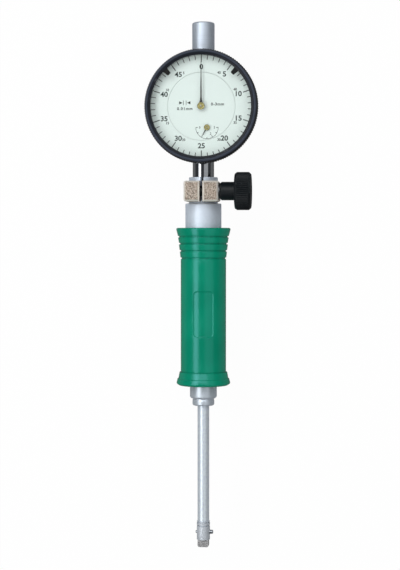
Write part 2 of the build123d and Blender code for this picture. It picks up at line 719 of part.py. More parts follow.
# Gears and arbors
TOOTH_TIP = WHEEL_TIP_SHARE * GEAR_MODULE
TOOTH_ROOT = WHEEL_ROOT_SHARE * GEAR_MODULE
WINDOW_R_SHARE = 0.228      # shares of the wheels' pitch radius
WINDOW_CIRCLE_SHARE = 0.577
WINDOW_R = WINDOW_R_SHARE * WHEEL_PITCH_R
WINDOW_CIRCLE = WINDOW_CIRCLE_SHARE * WHEEL_PITCH_R
WINDOWS = 4


def gear_wheel(x, y, bore):
    """A fine-toothed brass wheel with round windows, with one tooth on the line to the centre pinion."""
    with BuildSketch(Plane((x, y, GEAR_LOW))) as outline:
        Polygon(
            *pointed_teeth(
                WHEEL_TEETH,
                WHEEL_PITCH_R + TOOTH_TIP,
                WHEEL_PITCH_R - TOOTH_ROOT,
                GEAR_ANGLE,
            ),
            align=None,
        )
        Circle(bore, mode=Mode.SUBTRACT)
        with PolarLocations(WINDOW_CIRCLE, WINDOWS):
            Circle(WINDOW_R, mode=Mode.SUBTRACT)
    extrude(outline.sketch, amount=GEAR_T)


with BuildPart() as main_gear:
    gear_wheel(-COUNTER_X, -COUNTER_Y, MAIN_ARBOR_R + SEAT)
save(main_gear, "main_gear")

with BuildPart() as takeup_gear:
    gear_wheel(COUNTER_X, COUNTER_Y, ARBOR_R + SEAT)
save(takeup_gear, "takeup_gear")

RACK_PINION_HALF = 1.2
RACK_PINION_TIP_R = RACK_PINION_R + RACK_PINION_TIP_SHARE * RACK_MODULE
RACK_PINION_ROOT_R = RACK_PINION_R - RACK_PINION_ROOT_SHARE * RACK_MODULE
PINION_T = 0.6
HAND_PIN_R = 0.3
POINTER_T = 0.15
HUB_R = 1.375
COUNTER_HAND_T = 0.12
COUNTER_HUB_R = 1.1

with BuildPart() as rack_pinion:
    rod(MAIN, PIVOT_R, REAR_PLATE_LOW, WEB_TOP - PIVOT_END - TOUCH)
    rod(MAIN, MAIN_ARBOR_R, REAR_PLATE_TOP + RUNNING, WEB_LOW - RUNNING)
    with BuildSketch(Plane((-COUNTER_X, -COUNTER_Y, AXIS_Z - RACK_PINION_HALF))):
        Polygon(
            *flat_teeth(
                RACK_PINION_TEETH,
                RACK_PINION_TIP_R,
                RACK_PINION_ROOT_R,
                0,
                tip_share=0.2,
                root_share=0.62,
            ),
            align=None,
        )
    extrude(amount=2 * RACK_PINION_HALF)
save(rack_pinion, "rack_pinion")

with BuildPart() as centre_pinion:
    rod(DIAL, PIVOT_R, PLATE_LOW, PLATE_TOP + RUNNING)
    rod(DIAL, ARBOR_R, PLATE_TOP + RUNNING, POINTER_LOW)
    rod(DIAL, HAND_PIN_R, POINTER_LOW, HUB_TOP - SEAT)
    with BuildSketch(Plane.XY.offset(GEAR_LOW - (PINION_T - GEAR_T) / 2)):
        Polygon(
            *flat_teeth(
                PINION_TEETH,
                PINION_PITCH_R + TOOTH_TIP,
                PINION_PITCH_R - PINION_ROOT_SHARE * GEAR_MODULE,
                GEAR_ANGLE + 180 / PINION_TEETH,
                tip_share=0.2,
                root_share=0.6,
            ),
            align=None,
        )
    extrude(amount=PINION_T)
save(centre_pinion, "centre_pinion")

with BuildPart() as takeup_arbor:
    rod(COUNTER, PIVOT_R, PLATE_LOW, PLATE_TOP + RUNNING)
    rod(COUNTER, ARBOR_R, PLATE_TOP + RUNNING, COUNTER_HAND_LOW)
    rod(COUNTER, HAND_PIN_R, COUNTER_HAND_LOW, COUNTER_HUB_TOP - SEAT)
save(takeup_arbor, "takeup_arbor")

# Hairspring: a flat strip wound from the take-up arbor out to its stud, in short straight steps
HAIRSPRING_STRIP = 0.12
HAIRSPRING_TURNS = 3
HAIRSPRING_STEPS = 20

with BuildPart() as hairspring:
    start_r = ARBOR_R + SEAT + HAIRSPRING_STRIP / 2
    end_r = HAIRSPRING_END_R - STUD_R - SEAT - HAIRSPRING_STRIP / 2
    steps = HAIRSPRING_TURNS * HAIRSPRING_STEPS
    inside = []
    outside = []
    for k in range(steps + 1):
        angle = math.tau * k / HAIRSPRING_STEPS
        middle = start_r + (end_r - start_r) * k / steps
        for points, half in ((inside, -HAIRSPRING_STRIP / 2), (outside, HAIRSPRING_STRIP / 2)):
            points.append(((middle + half) * math.cos(angle), (middle + half) * math.sin(angle)))
    with BuildSketch(Plane((COUNTER_X, COUNTER_Y, HAIRSPRING_LOW))):
        with BuildLine():
            Polyline(*inside, *reversed(outside), close=True)
        make_face()
    extrude(amount=HAIRSPRING_T)
save(hairspring, "hairspring")

# Hands and their brass hubs
POINTER_SHORT = 1.6         # between the long hand's tip and the crystal's skirt
POINTER_TIP = CRYSTAL_R - SKIRT_WALL - POINTER_SHORT
POINTER_TIP_W = 0.22
POINTER_NECK = 2.7
POINTER_NECK_W = 0.5
POINTER_RING_R = 1.15
POINTER_FLARE_W = 1.3
HUB_EDGE = 0.3
COUNTER_TIP = 3.4
COUNTER_TIP_W = 0.16
COUNTER_NECK_W = 0.4
COUNTER_TURN = 240.0        # direction of the small hand, from +X


def hand(ring_r, pin_r, flare_w, neck, neck_w, tip, tip_w):
    """A flat hand along the sketch's own x axis: ring round the pin, flare, and a long taper."""
    Circle(ring_r)
    Polygon(
        (ring_r / 2, -flare_w / 2),
        (ring_r, -flare_w / 2),
        (neck, -neck_w / 2),
        (tip, -tip_w / 2),
        (tip, tip_w / 2),
        (neck, neck_w / 2),
        (ring_r, flare_w / 2),
        (ring_r / 2, flare_w / 2),
        align=None,
    )
    Circle(pin_r, mode=Mode.SUBTRACT)


def hub(plane, radius, pin_r, low, high):
    """A small turned hub with a bevelled front, round the hand pin."""
    turned(
        plane,
        [
            (pin_r, low),
            (radius - HUB_EDGE / 2, low),
            (radius, low + HUB_EDGE / 2),
            (radius, high - HUB_EDGE),
            (radius - HUB_EDGE, high),
            (pin_r, high),
        ],
    )


with BuildPart() as main_pointer:
    with BuildSketch(Plane.XY.offset(POINTER_LOW).rotated((0, 0, 90))):
        hand(
            POINTER_RING_R,
            HAND_PIN_R + SEAT,
            POINTER_FLARE_W,
            POINTER_NECK,
            POINTER_NECK_W,
            POINTER_TIP,
            POINTER_TIP_W,
        )
    extrude(amount=POINTER_T)
save(main_pointer, "main_pointer")

with BuildPart() as pointer_hub:
    hub(DIAL, HUB_R, HAND_PIN_R + SEAT, POINTER_LOW + POINTER_T, HUB_TOP)
save(pointer_hub, "pointer_hub")

with BuildPart() as counter_pointer:
    with BuildSketch(Plane((COUNTER_X, COUNTER_Y, COUNTER_HAND_LOW)).rotated((0, 0, COUNTER_TURN))):
        hand(
            COUNTER_HUB_R - HUB_EDGE,
            HAND_PIN_R + SEAT,
            COUNTER_NECK_W,
            COUNTER_HUB_R,
            COUNTER_NECK_W,
            COUNTER_TIP,
            COUNTER_TIP_W,
        )
    extrude(amount=COUNTER_HAND_T)
save(counter_pointer, "counter_pointer")

with BuildPart() as counter_hub:
    hub(COUNTER, COUNTER_HUB_R, HAND_PIN_R + SEAT, COUNTER_HAND_LOW + COUNTER_HAND_T, COUNTER_HUB_TOP)
save(counter_hub, "counter_hub")

# Clamp collar and sleeve: one turned piece, slit at the front, with a spigot inside the grip
COLLAR_EDGE = 0.25
SLEEVE_EDGE = 0.4
BORE_DROP = 1.6
BORE_BOTTOM = STEM_BOTTOM - BORE_DROP
SPIGOT_BORE_R = 3.4
GRIP_WALL = 3.0
GRIP_TUBE_R = GRIP_R - GRIP_WALL
GRIP_TUBE_WALL = 0.6
GRIP_SPIGOT_R = GRIP_TUBE_R - GRIP_TUBE_WALL - SEAT
SPRING_SEAT_DROP = 1.2      # the return spring's seat, flange and head, each below the one before
SPRING_ROOM = 12.8
ROD_HEAD_END = 4.0
SPRING_SEAT_TOP = TIP_BOTTOM - SPRING_SEAT_DROP
FLANGE_TOP = SPRING_SEAT_TOP - SPRING_ROOM
ROD_HEAD_BOTTOM = FLANGE_TOP - ROD_HEAD_END
SPIGOT_SPARE = 1.0
COLLAR_SPIGOT_END = ROD_HEAD_BOTTOM - SPIGOT_SPARE
SLIT_W = 1.15
BAND_DROP = 1.6
BAND_TOP = COLLAR_TOP - BAND_DROP
BAND_H = 7.6
SLIT_LAND = 0.4
SLIT_END = BAND_TOP - BAND_H + SLIT_LAND

with BuildPart() as clamp_collar:
    turned(
        GAUGE,
        [
            (STEM_R + RUNNING, COLLAR_TOP),
            (COLLAR_R - COLLAR_EDGE, COLLAR_TOP),
            (COLLAR_R, COLLAR_TOP - COLLAR_EDGE),
            (COLLAR_R, SLEEVE_TOP),
            (SLEEVE_R - SLEEVE_EDGE, SLEEVE_TOP),
            (SLEEVE_R, SLEEVE_TOP - SLEEVE_EDGE),
            (SLEEVE_R, GRIP_TOP),
            (GRIP_SPIGOT_R, GRIP_TOP),
            (GRIP_SPIGOT_R, COLLAR_SPIGOT_END),
            (SPIGOT_BORE_R, COLLAR_SPIGOT_END),
            (SPIGOT_BORE_R, BORE_BOTTOM),
            (STEM_R + RUNNING, BORE_BOTTOM),
        ],
    )
    with BuildSketch(Plane.XY.offset(AXIS_Z)):
        with Locations((0, (COLLAR_TOP + OVERRUN + SLIT_END) / 2)):
            Rectangle(SLIT_W, COLLAR_TOP + OVERRUN - SLIT_END)
    extrude(amount=COLLAR_R + OVERRUN, mode=Mode.SUBTRACT)
save(clamp_collar, "clamp_collar")

# Clamp band: wraps the collar and carries two square lugs with bevelled front faces
BAND_WALL = 1.0
BAND_R = COLLAR_R + BAND_WALL
SCREW_R = 1.95
SCREW_END_WALL = 0.8
SCREW_WALL = 0.65           # between the screw and the collar
KNOB_Y = BAND_TOP - BAND_H / 2
KNOB_OUT = COLLAR_R + SCREW_WALL + SCREW_R
KNOB_Z = AXIS_Z + KNOB_OUT
KNOB = across_gauge(KNOB_Y, KNOB_Z)
LUG_WALL = 0.75
LUG_FRONT = KNOB_OUT + SCREW_R + LUG_WALL
LUG_BEVEL = 0.6
LUG_ROUND = 0.8

with BuildPart() as clamp_band:
    with BuildSketch(Plane(origin=(0, BAND_TOP, AXIS_Z), x_dir=(1, 0, 0), z_dir=(0, -1, 0))):
        Circle(BAND_R)
        with Locations((0, LUG_FRONT / 2)):
            Rectangle(2 * BAND_R, LUG_FRONT)
        Circle(COLLAR_R + SEAT, mode=Mode.SUBTRACT)
        with Locations((0, LUG_FRONT)):
            Rectangle(SLIT_W, 2 * LUG_FRONT, mode=Mode.SUBTRACT)
    extrude(amount=BAND_H)
    outer = clamp_band.edges().filter_by(Axis.Z).group_by(Axis.X)
    fillet(outer[0] + outer[-1], LUG_ROUND)
    chamfer(clamp_band.faces().group_by(Axis.Z)[-1].edges(), LUG_BEVEL)
    rod(KNOB, SCREW_R + 2 * RUNNING, 0, BAND_R + OVERRUN, mode=Mode.SUBTRACT)
    rod(KNOB, SCREW_R + RUNNING, SCREW_END_WALL - BAND_R, 0, mode=Mode.SUBTRACT)
save(clamp_band, "clamp_band")

# Clamp knob on its screw, with a washer against the lug
WASHER_T = 0.5
WASHER_R = 2.9
KNOB_HUB_R = 3.4
KNOB_HUB_EDGE = 0.6
KNOB_HUB_H = 5.46
KNOB_R = 7.0
KNOB_KNURL_DEPTH = 0.25
KNOB_ROOT_R = KNOB_R - KNOB_KNURL_DEPTH
KNOB_EDGE = 0.55
KNOB_H = 6.0
KNOB_TEETH = 56
KNOB_BORE = 1.6
WASHER_IN = BAND_R + TOUCH
WASHER_OUT = WASHER_IN + WASHER_T
KNOB_IN = WASHER_OUT + TOUCH
KNOB_HUB_END = KNOB_IN + KNOB_HUB_H
KNOB_END = KNOB_HUB_END + KNOB_H
KNOB_BORE_END = KNOB_HUB_END + KNOB_BORE
KNOB_FACE = Plane(origin=(KNOB_HUB_END + KNOB_EDGE, KNOB_Y, KNOB_Z), x_dir=(0, 1, 0), z_dir=(1, 0, 0))

with BuildPart() as knob_washer:
    tube(KNOB, WASHER_R, SCREW_R + RUNNING, WASHER_IN, WASHER_OUT)
save(knob_washer, "knob_washer")

with BuildPart() as clamp_screw:
    rod(KNOB, SCREW_R, SCREW_END_WALL - BAND_R + TOUCH, KNOB_BORE_END - TOUCH)
save(clamp_screw, "clamp_screw")

with BuildPart() as clamp_knob:
    turned(
        KNOB,
        [
            (SCREW_R + SEAT, KNOB_IN),
            (KNOB_HUB_R - KNOB_HUB_EDGE, KNOB_IN),
            (KNOB_HUB_R, KNOB_IN + KNOB_HUB_EDGE),
            (KNOB_HUB_R, KNOB_HUB_END),
            (KNOB_R - KNOB_EDGE, KNOB_HUB_END),
            (KNOB_ROOT_R, KNOB_HUB_END + KNOB_EDGE / 2),
            (KNOB_ROOT_R, KNOB_END - KNOB_EDGE / 2),
            (KNOB_R - KNOB_EDGE, KNOB_END),
            (0, KNOB_END),
            (0, KNOB_BORE_END),
            (SCREW_R + SEAT, KNOB_BORE_END),
        ],
    )
    with BuildSketch(KNOB_FACE):
        Polygon(*pointed_teeth(KNOB_TEETH, KNOB_R, KNOB_ROOT_R, 0), align=None)
        Circle(KNOB_ROOT_R - KNOB_EDGE, mode=Mode.SUBTRACT)
    extrude(amount=KNOB_END - KNOB_HUB_END - 2 * KNOB_EDGE)
save(clamp_knob, "clamp_knob")

# Grip: a moulded sleeve with four tapering rings at the top, two at the bottom, and a shallow panel
GRIP_TURN = 5.0             # the moulding stands turned a little from the dial
RING_GROOVE = 0.5
RING_DEPTH = 0.45
RING_END_SHARES = (0.0559, 0.1, 0.1458, 0.1924)     # grooves below the rings, of the grip's length
RING_UPPER_SHARES = (1.0, 0.55, 0.385, 0.192)       # radii over the grip's own, of its flare
RING_LOWER_SHARES = (0.577, 0.357, 0.22, 0.055)
TOP_ROUND = 0.5
LOWER_SHARES = (0.9161, 0.9576, 0.989)              # lower ring, rim and the rim's end, of the length
LOWER_RING_SHARES = (0.247, 0.495)
LOWER_RIM_SHARES = (0.66, 0.9)
BOTTOM_SHARE = 0.385
LEDGE_DEPTH = 0.15
LOWER_RING, LOWER_RIM, LOWER_RIM_END = (GRIP_TOP - GRIP_H * share for share in LOWER_SHARES)
PANEL_W = 7.6
PANEL_H = 16.8
PANEL_SHARE = 0.5441        # the panel's middle, of the grip's length
PANEL_Y = GRIP_TOP - GRIP_H * PANEL_SHARE
PANEL_DEPTH = 0.3
PANEL_CORNER = 1.0
GRIP = along_gauge(GRIP_TURN)

grip_outline = [(GRIP_TUBE_R, GRIP_TOP)]
grip_radii = [0]
ring_start = GRIP_TOP
for end_share, upper_share, lower_share in zip(RING_END_SHARES, RING_UPPER_SHARES, RING_LOWER_SHARES):
    end = GRIP_TOP - GRIP_H * end_share
    top_r = GRIP_R + FLARE * upper_share
    bottom_r = GRIP_R + FLARE * lower_share
    grip_outline += [
        (top_r, ring_start),
        (bottom_r, end + RING_GROOVE / 2),
        (bottom_r - RING_DEPTH, end + RING_GROOVE / 2),
        (bottom_r - RING_DEPTH, end - RING_GROOVE / 2),
    ]
    grip_radii += [TOP_ROUND if ring_start == GRIP_TOP else 0, 0, 0, 0]
    ring_start = end - RING_GROOVE / 2
grip_outline += [
    (GRIP_R, ring_start),
    (GRIP_R, LOWER_RING + RING_GROOVE),
    (GRIP_R - LEDGE_DEPTH, LOWER_RING),
    (GRIP_R + FLARE * LOWER_RING_SHARES[0], LOWER_RING),
    (GRIP_R + FLARE * LOWER_RING_SHARES[1], LOWER_RIM),
    (GRIP_R + FLARE * LOWER_RIM_SHARES[0], LOWER_RIM),
    (GRIP_R + FLARE * LOWER_RIM_SHARES[1], LOWER_RIM_END),
    (GRIP_R + FLARE * BOTTOM_SHARE, GRIP_BOTTOM),
    (GRIP_TUBE_R, GRIP_BOTTOM),
]
grip_radii += [0, 0, 0, 0, 0, 0, TOP_ROUND, 0, 0]

with BuildPart() as panel_pocket:
    with BuildSketch(GRIP):
        with Locations((0, PANEL_Y)):
            RectangleRounded(PANEL_W, PANEL_H, PANEL_CORNER)
    extrude(amount=GRIP_R + OVERRUN)
    rod(GRIP, GRIP_R - PANEL_DEPTH, PANEL_Y - PANEL_H, PANEL_Y + PANEL_H, mode=Mode.SUBTRACT)

with BuildPart() as grip:
    turned(GRIP, grip_outline, radii=grip_radii)
    add(panel_pocket.part, mode=Mode.SUBTRACT)
save(grip, "grip")

with BuildPart() as grip_tube:
    tube(GAUGE, GRIP_TUBE_R - SEAT, GRIP_TUBE_R - GRIP_TUBE_WALL, GRIP_BOTTOM, GRIP_TOP)
save(grip_tube, "grip_tube")

# Lower collar: the two-step ferrule under the grip, with a spigot and the probe tube's socket
FERRULE_STEP_R = 0.95
FERRULE_EDGE = 0.7
NOSE_WALL = 1.88
NOSE_TAPER = 1.0
NOSE_TAPER_R = 0.15
NOSE_R = PROBE_R + SEAT + NOSE_WALL
NOSE_TOP_R = NOSE_R - NOSE_TAPER_R
FERRULE_R = NOSE_R + FERRULE_STEP_R
FERRULE_NECK_R = FERRULE_R - FERRULE_EDGE
LOWER_SPIGOT = 11.7
LOWER_SPIGOT_END = GRIP_BOTTOM + LOWER_SPIGOT
SOCKET_IN = 3.7
TUBE_SOCKET = GRIP_BOTTOM + SOCKET_IN
ROD_R = 0.8

with BuildPart() as lower_collar:
    turned(
        GAUGE,
        [
            (PROBE_R + SEAT, FERRULE_BOTTOM),
            (NOSE_R, FERRULE_BOTTOM),
            (NOSE_R, FERRULE_STEP - NOSE_TAPER),
            (NOSE_TOP_R, FERRULE_STEP),
            (FERRULE_NECK_R, FERRULE_STEP),
            (FERRULE_R, FERRULE_STEP + FERRULE_EDGE),
            (FERRULE_R, GRIP_BOTTOM),
            (GRIP_SPIGOT_R, GRIP_BOTTOM),
            (GRIP_SPIGOT_R, LOWER_SPIGOT_END),
            (ROD_R + RUNNING, LOWER_SPIGOT_END),
            (ROD_R + RUNNING, TUBE_SOCKET),
            (PROBE_R + SEAT, TUBE_SOCKET),
        ],
        radii=[0, FERRULE_EDGE, 0, 0, 0, 0, 0, 0, 0, 0, 0, 0],
    )
save(lower_collar, "lower_collar")

PROBE_WALL = 0.85
HEAD_SPIGOT = 3.0
HEAD_EDGE = 0.2
HEAD_GROOVE_DROPS = (0.45, 1.75)        # two grooves under the head's shoulder
HEAD_GROOVE_W = 0.35
HEAD_GROOVE_DEPTH = 0.275
HEAD_GROOVE_R = HEAD_R - HEAD_GROOVE_DEPTH
CONTACT_R = 0.5
CONTACT_OUT = 0.45
ANVIL_R = 1.0
ANVIL_TIP_R = 0.75
ANVIL_SINK = 0.875
ANVIL_IN = HEAD_R - ANVIL_SINK
ANVIL_REACH = 1.225
ANVIL_OUT = HEAD_R + ANVIL_REACH
ANVIL_ROUND = 0.45
BLOCK_PIN_R = 0.8
BLOCK_PIN = 1.0

with BuildPart() as probe_tube:
    tube(GAUGE, PROBE_R, PROBE_R - PROBE_WALL, HEAD_TOP, TUBE_SOCKET)
save(probe_tube, "probe_tube")

# Measuring head: turned, with two grooves, a cross bore for the contact and one for the anvil
MEASURING = across_gauge(MEASURING_LINE, AXIS_Z)
ROD_BORE_END = MEASURING_LINE - ROD_R - 2 * RUNNING

with BuildPart() as measuring_head:
    turned(
        GAUGE,
        [
            (0, HEAD_BOTTOM),
            (HEAD_R - HEAD_EDGE, HEAD_BOTTOM),
            (HEAD_R, HEAD_BOTTOM + HEAD_EDGE),
            (HEAD_R, HEAD_TOP - HEAD_EDGE),
            (HEAD_R - HEAD_EDGE, HEAD_TOP),
            (PROBE_R - PROBE_WALL - SEAT, HEAD_TOP),
            (PROBE_R - PROBE_WALL - SEAT, HEAD_TOP + HEAD_SPIGOT),
            (0, HEAD_TOP + HEAD_SPIGOT),
        ],
    )
    for drop in HEAD_GROOVE_DROPS:
        groove = HEAD_TOP - drop
        tube(
            GAUGE,
            HEAD_R + OVERRUN,
            HEAD_GROOVE_R,
            groove - HEAD_GROOVE_W / 2,
            groove + HEAD_GROOVE_W / 2,
            mode=Mode.SUBTRACT,
        )
    rod(GAUGE, ROD_R + RUNNING, ROD_BORE_END, HEAD_TOP + HEAD_SPIGOT + OVERRUN, mode=Mode.SUBTRACT)
    rod(
        MEASURING,
        CONTACT_R + RUNNING,
        -HEAD_R - OVERRUN,
        CONTACT_R + STROKE + 2 * RUNNING,
        mode=Mode.SUBTRACT,
    )
    rod(MEASURING, ANVIL_R + SEAT, ANVIL_IN - SEAT, HEAD_R + OVERRUN, mode=Mode.SUBTRACT)
    rod(GAUGE, BLOCK_PIN_R + SEAT, HEAD_BOTTOM - OVERRUN, HEAD_BOTTOM + BLOCK_PIN + SEAT, mode=Mode.SUBTRACT)
save(measuring_head, "measuring_head")

with BuildPart() as anvil:
    turned(
        MEASURING,
        [
            (0, ANVIL_IN),
            (ANVIL_R, ANVIL_IN),
            (ANVIL_R, HEAD_R - SEAT),
            (ANVIL_TIP_R, HEAD_R - SEAT),
            (ANVIL_TIP_R, ANVIL_OUT),
            (0, ANVIL_OUT),
        ],
        radii=[0, 0, 0, 0, ANVIL_ROUND, 0],
    )
save(anvil, "anvil")

# Contact pin and push rod meet on a 45 degree face, so that both travel alike
WEDGE = 2.0                 # half the length of the cutting triangle's side
CONTACT_TIP_ROUND = 0.35


def wedge_cut(side):
    """Cuts away what lies past the 45 degree face: side 1 trims the contact pin, side -1 the push rod."""
    gap = side * TOUCH
    with BuildSketch(Plane((0, MEASURING_LINE, AXIS_Z - WEDGE))) as triangle:
        Polygon(
            (-gap - WEDGE, WEDGE),
            (-gap + WEDGE, -WEDGE),
            (side * WEDGE, side * WEDGE),
            align=None,
        )
    extrude(triangle.sketch, amount=2 * WEDGE, mode=Mode.SUBTRACT)


with BuildPart() as contact_pin:
    turned(
        MEASURING,
        [
            (0, -HEAD_R - CONTACT_OUT),
            (CONTACT_R, -HEAD_R - CONTACT_OUT),
            (CONTACT_R, CONTACT_R),
            (0, CONTACT_R),
        ],
        radii=[0, CONTACT_TIP_ROUND, 0, 0],
    )
    wedge_cut(1)
save(contact_pin, "contact_pin")

# Block under the head, square with bevelled lower edges, on a pin
BLOCK_W = 4.1
BLOCK_D = 3.4
BLOCK_BEVEL = 0.5

with BuildPart() as end_block:
    with BuildSketch(Plane(origin=(0, HEAD_BOTTOM, AXIS_Z), x_dir=(1, 0, 0), z_dir=(0, -1, 0))):
        Rectangle(BLOCK_W, BLOCK_D)
    extrude(amount=HEAD_BOTTOM - BLOCK_BOTTOM)
    chamfer(end_block.faces().sort_by(Axis.Y)[0].edges(), BLOCK_BEVEL)
    rod(GAUGE, BLOCK_PIN_R, HEAD_BOTTOM, HEAD_BOTTOM + BLOCK_PIN)
save(end_block, "end_block")

# Push rod, its head with the spring flange, the spring and its seat, and a guide in the grip tube
ROD_HEAD_TOP = TIP_BOTTOM - TOUCH
ROD_STEM_R = 1.6
FLANGE_R = SPIGOT_BORE_R - 2 * RUNNING
FLANGE_T = 1.2
ROD_BOSS_R = 1.8
ROD_SOCKET = 2.4
SPRING_SEAT_T = 1.0
RETURN_COIL_R = (SPIGOT_BORE_R + ROD_STEM_R) / 2
RETURN_WIRE_R = 0.3
RETURN_TURNS = 7
GUIDE_DROP = 12.5
GUIDE_TOP = COLLAR_SPIGOT_END - GUIDE_DROP
GUIDE_H = 3.0

with BuildPart() as rod_head:
    turned(
        GAUGE,
        [
            (0, ROD_HEAD_BOTTOM),
            (ROD_BOSS_R, ROD_HEAD_BOTTOM),
            (ROD_BOSS_R, FLANGE_TOP - FLANGE_T),
            (FLANGE_R, FLANGE_TOP - FLANGE_T),
            (FLANGE_R, FLANGE_TOP),
            (ROD_STEM_R, FLANGE_TOP),
            (ROD_STEM_R, ROD_HEAD_TOP),
            (0, ROD_HEAD_TOP),
        ],
    )
    rod(GAUGE, ROD_R + SEAT, ROD_HEAD_BOTTOM - OVERRUN, ROD_HEAD_BOTTOM + ROD_SOCKET, mode=Mode.SUBTRACT)
save(rod_head, "rod_head")

with BuildPart() as push_rod:
    rod(GAUGE, ROD_R, MEASURING_LINE - ROD_R, ROD_HEAD_BOTTOM + ROD_SOCKET - TOUCH)
    wedge_cut(-1)
save(push_rod, "push_rod")

with BuildPart() as spring_seat:
    tube(
        GAUGE,
        SPIGOT_BORE_R - SEAT,
        ROD_STEM_R + RUNNING,
        SPRING_SEAT_TOP - SPRING_SEAT_T,
        SPRING_SEAT_TOP,
    )
save(spring_seat, "spring_seat")

with BuildPart() as return_spring:
    coil(
        RETURN_COIL_R,
        RETURN_WIRE_R,
        RETURN_TURNS,
        FLANGE_TOP + TOUCH,
        SPRING_SEAT_TOP - SPRING_SEAT_T - TOUCH,
    )
save(return_spring, "return_spring")

with BuildPart() as rod_guide:
    tube(GAUGE, GRIP_SPIGOT_R, ROD_R + RUNNING, GUIDE_TOP - GUIDE_H, GUIDE_TOP)
save(rod_guide, "rod_guide")
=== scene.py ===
import json
import math

import bmesh
import bpy
import numpy as np
from mathutils import Matrix, Vector

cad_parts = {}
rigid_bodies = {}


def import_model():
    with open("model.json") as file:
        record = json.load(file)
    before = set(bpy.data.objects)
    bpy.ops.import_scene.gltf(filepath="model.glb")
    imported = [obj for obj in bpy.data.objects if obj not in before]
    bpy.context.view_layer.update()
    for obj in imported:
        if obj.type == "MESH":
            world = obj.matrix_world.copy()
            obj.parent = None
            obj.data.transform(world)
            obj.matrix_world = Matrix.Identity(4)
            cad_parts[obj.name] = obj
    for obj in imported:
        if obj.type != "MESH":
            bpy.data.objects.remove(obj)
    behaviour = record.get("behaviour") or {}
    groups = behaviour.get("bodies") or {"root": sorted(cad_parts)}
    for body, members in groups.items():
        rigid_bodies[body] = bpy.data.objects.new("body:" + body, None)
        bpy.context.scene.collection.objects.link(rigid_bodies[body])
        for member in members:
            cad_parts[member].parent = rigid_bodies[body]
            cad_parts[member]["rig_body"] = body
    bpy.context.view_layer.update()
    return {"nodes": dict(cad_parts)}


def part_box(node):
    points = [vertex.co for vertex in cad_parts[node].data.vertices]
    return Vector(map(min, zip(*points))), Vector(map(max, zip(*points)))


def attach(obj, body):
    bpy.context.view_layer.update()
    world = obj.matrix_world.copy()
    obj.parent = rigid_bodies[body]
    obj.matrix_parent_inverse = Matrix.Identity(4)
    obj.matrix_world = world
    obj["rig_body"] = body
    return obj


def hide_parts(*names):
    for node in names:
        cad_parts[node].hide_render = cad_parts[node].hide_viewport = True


bl_info = {
    "name": "Dial bore gauge looks",
    "version": (1, 0, 0),
    "blender": (4, 5, 0),
    "location": "View3D > Sidebar > Bore gauge",
    "description": "Finishes and fine pieces for a small dial bore gauge",
    "category": "Object",
}

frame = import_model()
NODES = frame["nodes"]

MM = 0.001
FULL_TURN = 2 * math.pi
WELD = 0.0001 * MM


def span(node, axis):
    """The lowest and the highest coordinate of a CAD node along x, y or z, in millimetres."""
    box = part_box(node)
    k = "xyz".index(axis)
    return box[0][k] / MM, box[1][k] / MM


def low(node, axis):
    return span(node, axis)[0]


def high(node, axis):
    return span(node, axis)[1]


def middle(node, axis):
    return sum(span(node, axis)) / 2


def radius(node, axis="x"):
    return (high(node, axis) - low(node, axis)) / 2


# Driving places, read from the frame, in millimetres
AXIS_Z = middle("stem", "z")
DIAL_TOP = high("dial_ring", "z")
PRINT = (DIAL_TOP + 0.002, DIAL_TOP + 0.014)

# Radius of the spigots that hold the clamp sleeve and the ferrule in the grip
SPIGOT = 4.88


class Spindle:
    """The axis that a turned piece is spun about: its foot, its direction and the direction of angle zero."""

    def __init__(self, foot, along, start):
        self.foot = np.array(foot, float)
        self.along = np.array(along, float)
        self.start = np.array(start, float)
        self.side = np.cross(self.along, self.start)

    def place(self, radii, heights, angles):
        """foot + height * along + radius * (cos(angle) * start + sin(angle) * side), as metres."""
        out = np.cos(angles)[..., None] * self.start + np.sin(angles)[..., None] * self.side
        return (self.foot + heights[..., None] * self.along + radii[..., None] * out) * MM


def upright(x, y):
    """A spindle that faces the way the dial does."""
    return Spindle((x, y, 0), (0, 0, 1), (1, 0, 0))


def across(y, z):
    """A spindle that faces the knob's side."""
    return Spindle((0, y, z), (1, 0, 0), (0, 0, 1))


GAUGE = Spindle((0, 0, AXIS_Z), (0, 1, 0), (0, 0, 1))
DIAL = upright(0, 0)
COUNTER = upright(middle("counter_hub", "x"), middle("counter_hub", "y"))
KNOB = across(middle("clamp_knob", "y"), middle("clamp_knob", "z"))
MEASURING = across(middle("contact_pin", "y"), AXIS_Z)


# Shapes: each is (vertices, faces), with vertices in metres

def rounded(corners, steps=5):
    """Rounds the corners of a closed profile. A corner is (radius, height) or (radius, height, round); a rounded
    one becomes an arc that touches both its sides, centred on their bisector at round / sin(half the angle)."""
    points = np.array([corner[:2] for corner in corners], float)
    rounds = [corner[2] if len(corner) > 2 else 0.0 for corner in corners]
    path = []
    for k, (point, size) in enumerate(zip(points, rounds)):
        if size <= 0:
            path.append(point[None])
            continue
        back = points[k - 1] - point
        ahead = points[(k + 1) % len(points)] - point
        back_length, ahead_length = np.linalg.norm(back), np.linalg.norm(ahead)
        back, ahead = back / back_length, ahead / ahead_length
        half = 0.5 * math.acos(max(-1.0, min(1.0, float(back @ ahead))))
        reach = min(size / math.tan(half), 0.49 * back_length, 0.49 * ahead_length)
        bisector = (back + ahead) / np.linalg.norm(back + ahead)
        centre = point + bisector * reach / math.cos(half)
        first, last = point + back * reach - centre, point + ahead * reach - centre
        sweep = math.atan2(first[0] * last[1] - first[1] * last[0], float(first @ last))
        angles = math.atan2(first[1], first[0]) + sweep * np.linspace(0, 1, steps + 1)
        path.append(centre + rays(angles) * reach * math.tan(half))
    return np.concatenate(path)


